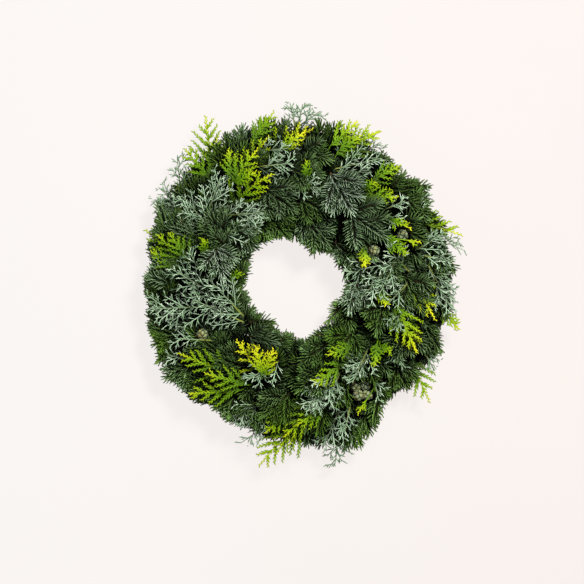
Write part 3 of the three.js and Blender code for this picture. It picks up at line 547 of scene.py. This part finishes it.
def branchlets(piece, line, rng, up, tone, first, step, angle, sizes, width, flat, spread, profile, forks,
               third=None):
    """Short branchlets on both sides of a line, with sizes from its foot to its tip, forked so many times."""
    length = measured(line)[-1]
    at = np.arange(first, length - 0.5, step)
    count = len(at)
    if count == 0:
        return
    at = at + rng.uniform(-0.2, 0.2, count) * step
    point, along = sample(line, at)
    across, top = sides_of(along, up)
    side = np.where(np.arange(count) % 2, 1.0, -1.0)
    lean = np.radians(rng.uniform(-spread, spread, count))
    out = across * (side * np.cos(lean))[:, None] + top * np.sin(lean)[:, None]
    turn = np.radians(angle + rng.uniform(-6, 6, count))
    way = along * np.cos(turn)[:, None] + out * np.sin(turn)[:, None]
    face = unit(top - way * (top * way).sum(1)[:, None])
    size = (sizes[0] + (sizes[1] - sizes[0]) * at / length) * rng.uniform(0.75, 1.15, count)
    third = None if third is None else np.clip(third[0] + (third[1] - third[0]) * at / length, 0, 1)
    bend, chance, tones = rng.uniform(-0.04, 0.08, count), rng.uniform(0, 1, count), np.full(count, tone)
    width = width * np.clip(size / 9, 0.6, 1)
    grow(piece, ALL_LEAF, point, way, face, size, width, width * flat, bend, profile, SQUARE, chance, tones,
         third=third)
    hand = np.where(rng.uniform(0, 1, count) < 0.5, 1.0, -1.0)
    for fork in range(forks):
        forked = (rng.uniform(0, 1, count) < 0.75) & (size > 7)
        at_fork = rng.uniform(0.22, 0.36, count) + 0.24 * fork
        start = point + way * (size * at_fork)[:, None]
        turned = unit(way * math.cos(0.6) + np.cross(way, face) * (hand * math.sin(0.6))[:, None])
        parts = (start, turned, face, size * (0.75 - at_fork), width * 0.92, width * 0.92 * flat, bend)
        grow(piece, ALL_LEAF, *(part[forked] for part in parts), profile, SQUARE, chance[forked], tones[forked])
        hand = -hand


def side_twig(piece, line, at, side, angle, reach, rise, curve, shortest):
    """A side branch that ends where the spray may reach, the way its upper side faces, and its length, or None."""
    (point,), (along,) = sample(line, [at])
    _, up = sides_of(along)
    while reach > shortest:
        twig = side_line(point, along, up, side, angle, reach, rise, curve)
        if piece.holds(twig[-1]):
            return None if over_cones(twig).any() else (twig, up, reach)
        reach *= 0.8
    return None


def blue_spray(piece, line, bare, branch, rng):
    """An open spray: a stem, branches a good way apart at several heights, and combs of thin straight threads."""
    piece.reach = math.hypot(*line[-1, :2]) + 4
    tube(piece, 1, line, BLUE_STEM, 0.8, 0.5, 0.8)
    length = measured(line)[-1]
    first = bare * length
    _, outer, _ = edges(line[-1])
    # Sprays that reach well past the outline have darker threads, and a little thicker ones.
    pale, width = (0.42, 1.7) if piece.reach > outer + 10 else (1.0, 1.4)
    at = first + 1
    side = 1 if rng.uniform() > 0.5 else -1
    while at < length - 8:
        share = (at - first) / (length - first)
        reach = branch * (1 - 0.6 * share) * rng.uniform(0.75, 1.15)
        height = rng.uniform(0, 1)
        if made := side_twig(piece, line, at, side, 38 + rng.uniform(-8, 8), reach, 30 * height - 8, 0.1, 7):
            twig, up, reach = made
            # Painted shade: branches that rise less get a lower tone, which the leaf material paints darker.
            tone = pale * (0.25 + 0.75 * height)
            tube(piece, 0, twig, 0.9, 0.7, rng.uniform(), tone, corners=5)
            sizes = (0.18 * reach + 13, 11)
            branchlets(piece, twig, rng, up, tone, first=4, step=6, sizes=sizes, width=width, **THREADS)
        at += rng.uniform(12, 17)
        side = -side
    tip = line[int(len(line) * max(bare, 0.3)):]
    branchlets(piece, tip, rng, UP, 0.95 * pale, first=3, step=6.4, sizes=(24, 11), width=width, **THREADS)


# ---- Gold cypress ----

TOOTH_PROFILE = [(0, 1.0), (0.4, 1.0), (0.75, 0.6), (1, 0)]
TEETH = {"step": 3.1, "angle": 30, "width": 3.3, "flat": 0.35, "spread": 5, "profile": TOOTH_PROFILE, "forks": 0}


def gold_spray(piece, line, bare, tone, rng):
    """A flat ferny spray: a rib, pointed side branches on both sides, and forward teeth along each of them."""
    piece.reach = math.hypot(*line[-1, :2]) + 7
    tube(piece, 0, line, GOLD_STEM, 0.6, 0.5, tone, flat=0.6, third=(-0.3, 1))
    length = measured(line)[-1]
    first = bare * length
    leafy = length - first
    step = min(9.5, max(4.5, leafy / 8))
    at = first
    side = 1
    while at < first + 0.8 * leafy:
        share = (at - first) / leafy
        reach = max(8, leafy * 0.5 * (1 - share) ** 0.8 * rng.uniform(0.85, 1.15))
        if made := side_twig(piece, line, at, side, 40 + rng.uniform(-4, 4), reach, rng.uniform(-6, 8), 0.12, 6):
            twig, up, reach = made
            ages = (0.6 * share, 0.45 + 0.55 * share)
            tube(piece, 0, twig, 1.9, 0.5, rng.uniform(), tone, corners=4, flat=0.45, up=up, third=ages)
            branchlets(piece, twig, rng, up, tone, first=2, sizes=(6.5 + 0.1 * reach, 4.6), third=ages, **TEETH)
        at += rng.uniform(0.9, 1.1) * step
        side = -side
    rib = line[int(len(line) * bare):]
    branchlets(piece, rib, rng, UP, tone, first=1.5, sizes=(9.5, 5), third=(0.1, 1.0), **TEETH)


# ---- Cones ----

CONE_RADIUS, CONE_SCALES = 9.2, 16
CONE_HEIGHT = 9  # of its middle over its stem


def sphere_grid(rows, columns):
    lat = np.linspace(0, math.pi, rows + 1)[1:-1]
    lon = np.arange(columns) * 2 * math.pi / columns
    a, b = np.meshgrid(lat, lon, indexing="ij")
    body = np.stack([np.sin(a) * np.cos(b), np.sin(a) * np.sin(b), np.cos(a)], -1).reshape(-1, 3)
    verts = np.concatenate([[(0, 0, 1.0)], body, [(0, 0, -1.0)]])
    faces = []
    last = len(verts) - 1
    for k in range(columns):
        after = (k + 1) % columns
        faces += [(0, 1 + k, 1 + after), (last, last - columns + after, last - columns + k)]
        for r in range(rows - 2):
            a, b = 1 + r * columns, 1 + (r + 1) * columns
            faces += [(a + k, b + k, b + after), (a + k, b + after, a + after)]
    return verts, np.array(faces)


def add_cone(piece, centre, rng):
    """A round cone of shield-shaped scales with a point in the middle of each."""
    verts, faces = sphere_grid(44, 72)
    number = np.arange(CONE_SCALES)
    z = 1 - 2 * (number + 0.5) / CONE_SCALES
    turn = number * math.pi * (3 - math.sqrt(5)) + rng.uniform(0, 6)
    scales = np.stack([np.sqrt(1 - z ** 2) * np.cos(turn), np.sqrt(1 - z ** 2) * np.sin(turn), z], -1)
    gap = np.arccos(np.clip(verts @ scales.T, -1, 1))
    gap.sort(axis=1)
    edge = np.clip((gap[:, 1] - gap[:, 0]) / 0.28, 0, 1)
    rough = 0.02 * np.sin(verts @ (9, 4, 7)) * np.sin(verts @ (3, 11, -6)) + rng.uniform(-0.008, 0.008, len(verts))
    shape = 0.82 + 0.15 * np.sqrt(edge) + 0.09 * np.exp(-(gap[:, 0] / 0.13) ** 2) + rough
    body = verts * (CONE_RADIUS * shape)[:, None] + centre
    middle = np.exp(-(gap[:, 0] / 0.2) ** 2)
    piece.add(body, faces, 0, edge, rng.uniform(), middle, 1)


# ---- Straw ring ----

LOOSE_STRAWS = 420


def straw_ring(piece, rng):
    """The ring with its waists under the wire, and loose straws bound along it."""
    around_ring, around_straw = 640, 40
    u = np.arange(around_ring) / around_ring
    v = np.arange(around_straw) / around_straw
    uu, vv = np.meshgrid(u, v, indexing="ij")
    turn = (uu * WIRE_TURNS - (vv - 0.5 / STRAW_SIDES)) % 1
    pinch = np.exp(-(np.minimum(turn, 1 - turn) / 0.13) ** 2)
    half = math.pi / STRAW_SIDES
    flat = RIM / np.cos((vv * 2 * math.pi + half) % (2 * half) - half)
    radius = (STRAW_RADIUS - 1.7 * pinch) * (0.6 * flat + 0.4 * RIM) - 0.3
    seat = vv * 2 * math.pi
    out = RING_RADIUS + radius * np.cos(seat)
    bearing = uu * 2 * math.pi
    verts = np.stack([out * np.sin(bearing), out * np.cos(bearing), RING_HEIGHT + radius * np.sin(seat)], -1)
    a = np.arange(uu.size).reshape(uu.shape)
    b, d = np.roll(a, -1, 0), np.roll(a, -1, 1)
    c = np.roll(b, -1, 1)
    faces = np.concatenate([np.stack(corners, -1).reshape(-1, 3) for corners in ((a, d, c), (a, c, b))])
    piece.add(verts.reshape(-1, 3), faces, 0, uu.ravel(), rng.uniform(0, 1, uu.size), vv.ravel(), 1)
    for _ in range(LOOSE_STRAWS):
        start, seat = rng.uniform(0, 360), rng.uniform(0, 360)
        reach, twist = rng.uniform(16, 34), rng.uniform(-14, 14)
        line = np.array([beside_ring(start + reach * t / 2.6, seat + twist * t,
                                     STRAW_RADIUS * RIM - 0.35 + 0.5 * math.sin(math.pi * t))
                         for t in np.linspace(0, 1, 6)])
        line[:, 2] = np.maximum(line[:, 2], 0.8)
        tube(piece, 0, line, rng.uniform(0.5, 0.8), 0.4, rng.uniform(), 0.4, corners=4, flat=0.6)


# ---- Materials ----

def colour(hex_code):
    """Linear colour of a display colour."""
    parts = [int(hex_code[k:k + 2], 16) / 255 for k in (0, 2, 4)]
    return [c / 12.92 if c <= 0.04045 else ((c + 0.055) / 1.055) ** 2.4 for c in parts] + [1.0]


DULL = 0.18  # leaves, bark and cones hardly shine


class Shade:
    """A node material, written as sums."""

    def __init__(self, name):
        self.material = bpy.data.materials.new(name)
        self.material.use_nodes = True
        self.tree = self.material.node_tree
        self.shader = self.tree.nodes["Principled BSDF"]
        look = self.node("Attribute", {}, attribute_name="look")
        self.along, self.chance, self.side = self.node("SeparateColor", {0: look.outputs["Color"]}).outputs
        self.tone = look.outputs["Alpha"]
        self.painted_shade_depth = self.node("Attribute", {}, attribute_name="painted_shade_depth").outputs["Fac"]

    def node(self, kind, inputs, **settings):
        """A new node, with values, colours or other nodes' outputs for its inputs."""
        made = self.tree.nodes.new("ShaderNode" + kind)
        for key, value in settings.items():
            setattr(made, key, value)
        for key, value in inputs.items():
            self.put(made.inputs[key], value)
        return made

    def put(self, socket, value):
        if isinstance(value, bpy.types.NodeSocket):
            self.tree.links.new(value, socket)
        else:
            socket.default_value = colour(value) if isinstance(value, str) else value

    def ramp(self, factor, stops):
        made = self.node("ValToRGB", {0: factor})
        band = made.color_ramp
        while len(band.elements) < len(stops):
            band.elements.new(0.5)
        for element, (place, code) in zip(band.elements, stops):
            element.position = place
            element.color = colour(code)
        return made.outputs[0]

    def mix(self, factor, first, second, blend="MIX"):
        return self.node("Mix", {0: factor, 6: first, 7: second}, data_type="RGBA", blend_type=blend).outputs[2]

    def math(self, kind, first, second):
        return self.node("Math", {0: first, 1: second}, operation=kind).outputs[0]

    def times(self, first, second):
        return self.math("MULTIPLY", first, second)

    def total(self, start, *parts):
        """A number and several values, each times its share."""
        for value, share in parts:
            start = self.math("ADD", start, self.times(value, share))
        return start

    def between(self, value, low, high, to_low=0.0, to_high=1.0):
        inputs = dict(enumerate((value, low, high, to_low, to_high)))
        return self.node("MapRange", inputs, interpolation_type="SMOOTHSTEP").outputs[0]

    def noise(self, scale, detail=3.0, roughness=0.6, vector=None):
        inputs = {"Vector": vector or self.place(), "Scale": scale, "Detail": detail, "Roughness": roughness}
        return self.node("TexNoise", inputs).outputs[0]

    def cells(self, scale):
        """Distance from the middle of each of many small cells."""
        inputs = {"Vector": self.place(), "Scale": scale}
        return self.node("TexVoronoi", inputs, feature="F1").outputs["Distance"]

    def place(self):
        return self.node("TexCoord", {}).outputs["Object"]

    def bump(self, height, strength, distance):
        made = self.node("Bump", {"Height": height, "Strength": strength, "Distance": distance})
        self.put(self.shader.inputs["Normal"], made.outputs[0])

    def finish(self, base, roughness, **levels):
        for name, value in {"Base_Color": base, "Roughness": roughness, **levels}.items():
            self.put(self.shader.inputs[name.replace("_", " ")], value)
        return self.material

    def foliage_with_painted_shade(self, base, roughness, darkest):
        """Leaves and bark, with painted shade: the deeper a point lies inside the wreath, the darker it is painted,
        and the blue of that dark is taken down most.
        """
        # Painted shade: deep points are mixed towards a dark green with little blue.
        dark = self.mix(1.0, base, (darkest, 1.3 * darkest, 0.3 * darkest, 1), "MULTIPLY")
        base = self.mix(self.math("POWER", self.painted_shade_depth, 0.6), base, dark)
        return self.finish(base, roughness, Specular_IOR_Level=DULL)


def needle_material(name, dark, mid, bright):
    """Fir needles: dark waxy green with a light line along the middle, bluish white on the frosted ones. The light
    line is a painted highlight along the ridge in the colours of the bluish bloom, and painted shade makes the rest
    of each needle dark, darker still towards its foot.
    """
    shade = Shade(name)
    green = shade.ramp(shade.chance, [(0, dark), (0.5, mid), (1, bright)])
    # Painted highlight along each needle's ridge, in bloom colours, weaker on needles with a low chance.
    ridge = shade.between(shade.side, 0.2, 0.75)
    light = shade.mix(shade.tone, shade.mix(0.5, green, "92b84c"), "a8cc9c")
    frosted = shade.mix(shade.chance, light, "e6f6e4")
    light = shade.mix(shade.math("POWER", shade.tone, 2), light, frosted)
    amount = shade.times(ridge, shade.between(shade.noise(60), 0.3, 0.6, 0.6, 1.0))
    amount = shade.times(amount, shade.between(shade.chance, 0.0, 0.3, 0.3, 1.0))
    # Painted shade: away from the ridge the needle is mixed most of the way to near black.
    base = shade.mix(amount, shade.mix(0.85, green, "040c02"), light)
    # Painted shade: each needle darkens towards its foot at the twig.
    base = shade.mix(shade.between(shade.along, 0.65, 0.1), base, shade.mix(0.9, base, "030801"))
    shade.bump(shade.noise(900, 2), 0.15, 0.0002)
    return shade.foliage_with_painted_shade(base, 0.5, 0.015)


def under_material():
    shade = Shade("fir_underside")
    band = shade.between(shade.noise(140), 0.4, 0.6)
    base = shade.mix(band, "3c5a28", "7f966c")
    base = shade.mix(shade.chance, base, "4f6a38")
    return shade.foliage_with_painted_shade(base, 0.6, 0.02)


def bark_material():
    shade = Shade("fir_bark")
    grain = shade.noise(260, 5, 0.7)
    base = shade.ramp(grain, [(0.25, "2a2010"), (0.5, "4c3a1e"), (0.75, "6e5228")])
    base = shade.mix(shade.between(shade.tone, 0.6, 0.9), base, "8a4a22")
    shade.bump(grain, 0.5, 0.0006)
    return shade.foliage_with_painted_shade(base, 0.75, 0.1)


def scale_leaf_material(name, scale, old, stops):
    """Cypress leaves: overlapping scales with paler edges, and colour that shifts along each branchlet."""
    shade = Shade(name)
    cells = shade.cells(scale)
    edge = shade.between(cells, 0.1, 0.7)
    base = shade.ramp(shade.total(0.0, (shade.along, 0.5), (shade.chance, 0.5)), stops)
    base = shade.mix(shade.times(edge, 0.3), base, old)
    # Painted shade: the lower the tone, the darker the leaves; blue sprays give their lower branches low tones.
    base = shade.mix(shade.tone, shade.mix(1.0, base, (0.16, 0.24, 0.15, 1), "MULTIPLY"), base)
    shade.bump(cells, 0.35, 0.0005)
    return shade.foliage_with_painted_shade(base, 0.6, 0.02)


def gold_material():
    """Gold cypress: green where it is old and in the middle, lime and yellow towards the tips."""
    shade = Shade("gold_leaf")
    age = shade.total(-0.57, (shade.side, 0.75), (shade.along, 0.15), (shade.tone, 1.0), (shade.chance, 0.14))
    base = shade.ramp(age, [(0.0, "3a5a00"), (0.3, "5e8600"), (0.55, "8eac02"), (0.8, "bec80e"), (1.0, "e0da1e")])
    cells = shade.cells(620)
    edge = shade.between(cells, 0.15, 0.75)
    base = shade.mix(shade.times(edge, 0.25), base, "5f8600")
    shade.bump(cells, 0.3, 0.0005)
    return shade.foliage_with_painted_shade(base, 0.55, 0.08)


def cone_material():
    """Cone scales: grey green with olive and red brown blotches, and painted shade nearly black in the cracks between
    the scales.
    """
    shade = Shade("cone_scales")
    grain = shade.noise(340, 5, 0.7)
    base = shade.ramp(grain, [(0.3, "46543a"), (0.5, "76886a"), (0.7, "a4b494")])
    base = shade.mix(shade.between(shade.noise(150), 0.45, 0.62, 0, 0.55), base, "8f8c38")
    base = shade.mix(shade.between(shade.noise(190, 2), 0.55, 0.68, 0, 0.6), base, "6b3a1e")
    # Painted shade: near black in the cracks between the scales.
    base = shade.mix(shade.between(shade.along, 0.8, 0.2), base, "0c0a05")
    base = shade.mix(shade.between(shade.side, 0.4, 0.95, 0, 0.6), base, "b0aa78")
    shade.bump(grain, 0.7, 0.0012)
    return shade.finish(base, 0.75, Specular_IOR_Level=DULL)


def straw_material():
    """Straw bound along the ring: long strands from brown to pale gold."""
    shade = Shade("bound_straw")
    across = shade.node("CombineXYZ", {0: shade.times(shade.along, 90.0), 1: shade.times(shade.side, 110.0)})
    strand = shade.noise(1, 4, 0.65, across.outputs[0])
    base = shade.ramp(strand, [(0.3, "4a3514"), (0.45, "8f7440"), (0.6, "b89c60"), (0.75, "dcc690")])
    base = shade.mix(shade.times(shade.chance, 0.3), base, "8c7640")
    base = shade.mix(shade.between(shade.noise(45), 0.4, 0.7, 0, 0.5), base, "6e5628")
    shade.bump(strand, 0.9, 0.0016)
    return shade.finish(base, 0.8)


def wire_material():
    shade = Shade("green_wire")
    wear = shade.between(shade.noise(350), 0.55, 0.7)
    base = shade.mix(wear, "2f4a30", "5d6b5a")
    shade.bump(shade.noise(800), 0.2, 0.0001)
    return shade.finish(base, 0.38, Metallic=0.6)


NEEDLES = [needle_material("fir_needles_0", "14380c", "265418", "3c6e2c"),
           needle_material("fir_needles_1", "1e480e", "36691c", "568c34"),
           needle_material("fir_needles_2", "326612", "588e20", "88b43c")]
UNDER, BARK = under_material(), bark_material()
BLUE_LEAF = [(0, "82a07c"), (0.35, "a8c6a2"), (0.7, "cae0c4"), (1, "e4f2da")]
BLUE_BARK = [(0, "6a6a34"), (0.35, "8c9a40"), (0.5, "86a07c"), (1, "8fac88")]
BLUE = [scale_leaf_material("blue_leaf", 700, "76926e", BLUE_LEAF),
        scale_leaf_material("blue_stem", 500, "6d5a34", BLUE_BARK)]
GOLD = [gold_material()]
CONE, STRAW, WIRE = cone_material(), straw_material(), wire_material()

# ---- The wreath ----

# material slot and first seed of each kind of piece
KINDS = {"fir_fill": ("fir", 100), "spray_blue_cypress": ("blue_cypress", 200), "blue_fill": ("blue_cypress", 300),
         "spray_gold_cypress": ("gold_cypress", 400), "gold_fill": ("gold_cypress", 500), "cones": ("cone", 600)}


def start_piece(kind, number, materials):
    """A piece and its own draws."""
    slot, seed = KINDS[kind]
    return Piece(f"{kind}_{number:02d}", slot, materials), np.random.default_rng(seed + number - 1)


def start_fill(piece, slot, stem, tone, place, high=0):
    """Raises the stem of a filling spray to its foot, and gives the line from there to its tip."""
    rise, level = fill_line(*place, high)
    tube(piece, slot, rise, stem, stem, 0.5, tone)
    return level, measured(level)[-1]


def fir_materials(bright):
    level = 0 if bright < 0.3 else 1 if bright < 0.55 else 2
    return [NEEDLES[level], UNDER, BARK]


CONE_SEATS = []
for spray, share, offsets in CONES:
    line = cypress_line(BLUE_SPRAYS[spray], BLUE_STEM)
    (point,), (along,) = sample(line, [share * measured(line)[-1]])
    seat = point + unit(UP - along * along[2]) * (BLUE_STEM / 2 + SEAT_GAP + CONE_HEIGHT)
    CONE_SEATS.append([seat + np.array(offset) for offset in offsets])
CONE_TOPS = np.concatenate(CONE_SEATS)

serial = 0
for row in FIR_ROWS:
    for index in range(row[1]):
        serial += 1
        rng = np.random.default_rng(serial)
        node = f"{row[0]}_{index + 1:02d}"
        bright = (0.5 + 0.5 * jitter(serial, 11)) * 0.8
        piece = Piece("spray_" + node, "fir", fir_materials(bright))
        fir_spray(piece, fir_line(row, index), FIR_BARE, row[8], 0.35 * rng.uniform(), rng)
        piece.make([node], smooth=False)

for number, (*place, frost, bright) in enumerate(FIR_FILL, 1):
    piece, rng = start_piece("fir_fill", number, fir_materials(bright))
    level, size = start_fill(piece, 2, FIR_STEM, 0.3, place)
    twigs = [(0.12, 1, 0.6 * size), (0.2, -1, 0.6 * size), (0.5, 1, 0.4 * size), (0.55, -1, 0.4 * size)]
    fir_spray(piece, level, 1, twigs, frost ** 2, rng)
    piece.make(smooth=False)

# Short sprays low on the ring, which close the body of the wreath: radius, count, reach outward, height.
UNDER_LAYER = [(108, 16, -14, 36), (130, 20, -6, 50), (158, 24, 4, 58), (186, 27, 12, 48), (210, 29, 18, 32),
               (118, 17, -14, 16), (196, 26, 20, 14), (220, 34, 16, 24), (176, 25, 8, 40), (144, 21, -2, 34),
               (228, 36, 10, 32)]
for ring, (radius, count, outward, height) in enumerate(UNDER_LAYER):
    for part in range(4):
        rng = np.random.default_rng(800 + 4 * ring + part)
        piece = Piece(f"fir_under_{ring + 1}_{part + 1}", "fir", fir_materials(0.2 + 0.2 * part))
        for index in range(part, count, 4):
            bearing = 360 * index / count + rng.uniform(-5, 5) + 7 * ring
            turn = math.degrees(44 / radius)
            foot = around(bearing, radius, height - 8)
            tip = around(bearing + turn, radius + outward, height + rng.uniform(-3, 5))
            root = beside_ring(bearing - 4, seat_under(radius), STRAW_RADIUS)
            tube(piece, 2, bezier(root, root * 0.5 + foot * 0.5, foot, 8), FIR_STEM, FIR_STEM, 0.5, 0.3)
            line = bezier(foot, (foot + tip) / 2 + UP * 3, tip, 16)
            fir_spray(piece, line, 1, [(0.15, 1, 26), (0.25, -1, 26), (0.5, 1, 20), (0.55, -1, 20)], 0.4, rng)
        piece.make(smooth=False)

for number, spray in enumerate(BLUE_SPRAYS, 1):
    piece, rng = start_piece("spray_blue_cypress", number, BLUE)
    blue_spray(piece, cypress_line(spray, BLUE_STEM), bare=0.34, branch=42, rng=rng)
    piece.make([f"blue_cypress_{number:02d}"])
for number, place in enumerate(BLUE_FILL, 1):
    piece, rng = start_piece("blue_fill", number, BLUE)
    level, size = start_fill(piece, 1, BLUE_STEM, 0.5, place, high=4)
    blue_spray(piece, level, bare=0.05, branch=0.5 * size + 6, rng=rng)
    piece.make()

for number, (*spray, yellow) in enumerate(GOLD_SPRAYS, 1):
    piece, rng = start_piece("spray_gold_cypress", number, GOLD)
    gold_spray(piece, cypress_line(spray, GOLD_STEM), bare=0.42, tone=yellow, rng=rng)
    piece.make([f"gold_cypress_{number:02d}"])
for number, (*place, yellow) in enumerate(GOLD_FILL, 1):
    piece, rng = start_piece("gold_fill", number, GOLD)
    level, size = start_fill(piece, 0, GOLD_STEM, 0.3, place, high=10)
    gold_spray(piece, level, bare=0.04, tone=yellow, rng=rng)
    piece.make()

for number, seats in enumerate(CONE_SEATS, 1):
    piece, rng = start_piece("cones", number, [CONE])
    for seat in seats:
        add_cone(piece, seat, rng)
    piece.make([f"cypress_cones_{number:02d}"])

# How deep each point of the foliage lies, for the painted shade that darkens it inwards.
depths = depth_inside(np.concatenate([verts for _, verts in MESHES]))
start = 0
for mesh, verts in MESHES:
    mesh.attributes["painted_shade_depth"].data.foreach_set("value", depths[start:start + len(verts)])
    start += len(verts)

piece = Piece("bound_straw_ring", "straw", [STRAW])
straw_ring(piece, np.random.default_rng(700))
piece.make(["straw_ring"])
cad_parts["binding_wire"].material_slots[0].material = WIRE

# ---- Floor, light and camera ----

FRAME_PIXELS = 584
DISTANCE = 2.4  # of the camera above the floor
FOLIAGE_HEIGHT = 0.05  # where a pixel measures what PIXEL says
LIT_POINT = (0, 0, 0.04)
FLOOR = 40  # half its width


def plain_floor():
    """A pale surface that glows a little, so that it is as light as in the photo and the shadow on it stays soft."""
    mesh = bpy.data.meshes.new("floor")
    corners = [(x * FLOOR, y * FLOOR, 0) for x, y in ((-1, -1), (1, -1), (1, 1), (-1, 1))]
    mesh.from_pydata(corners, [], [range(4)])
    shade = Shade("pale_floor")
    across = shade.node("SeparateXYZ", {0: shade.place()}).outputs[0]
    # Painted light falloff: the floor's colour is a little darker towards +x.
    base = shade.mix(shade.between(across, -0.5, 0.5), "faf6f4", "f7efec")
    base = shade.mix(shade.between(shade.noise(1.5), 0.3, 0.7, 0, 0.4), base, "fbf5f0")
    # Painted light: only 6% of the floor's colour takes lamp light, and the rest of its brightness is its own glow.
    lit = shade.mix(1.0, base, (0.06, 0.06, 0.06, 1), "MULTIPLY")
    mesh.materials.append(shade.finish(lit, 0.9, Emission_Color=base, Emission_Strength=0.905))
    new_object("floor", mesh)


def area_light(name, place, size, energy, tint):
    lamp = bpy.data.lights.new(name, "AREA")
    lamp.shape, lamp.size, lamp.energy, lamp.color = "DISK", size, energy, tint
    light = new_object(name, lamp)
    light.location = place
    light.rotation_euler = Vector(np.array(LIT_POINT) - place).to_track_quat("-Z", "Y").to_euler()


def camera():
    lens = bpy.data.cameras.new("camera")
    lens.sensor_width = 36
    lens.lens = lens.sensor_width * (DISTANCE - FOLIAGE_HEIGHT) / (FRAME_PIXELS * PIXEL / 1000)
    eye = new_object("camera", lens)
    eye.location = (RING[0] + (FRAME_PIXELS / 2 - CENTRE_PIXEL[0]) * PIXEL / 1000,
                    RING[1] + (CENTRE_PIXEL[1] - FRAME_PIXELS / 2) * PIXEL / 1000, DISTANCE)
    bpy.context.scene.camera = eye


plain_floor()
area_light("key", (0.7, 0.9, 1.9), 0.5, 77, (1.0, 0.99, 0.94))
area_light("fill", (-1.4, -0.6, 2.0), 2.2, 16, (0.95, 0.97, 1.0))
world = bpy.data.worlds.new("soft_sky")
world.use_nodes = True
sky = world.node_tree.nodes["Background"]
sky.inputs["Color"].default_value = (0.95, 0.96, 1.0, 1)
sky.inputs["Strength"].default_value = 0.09
bpy.context.scene.world = world
bpy.context.scene.view_settings.view_transform = "Standard"
camera()
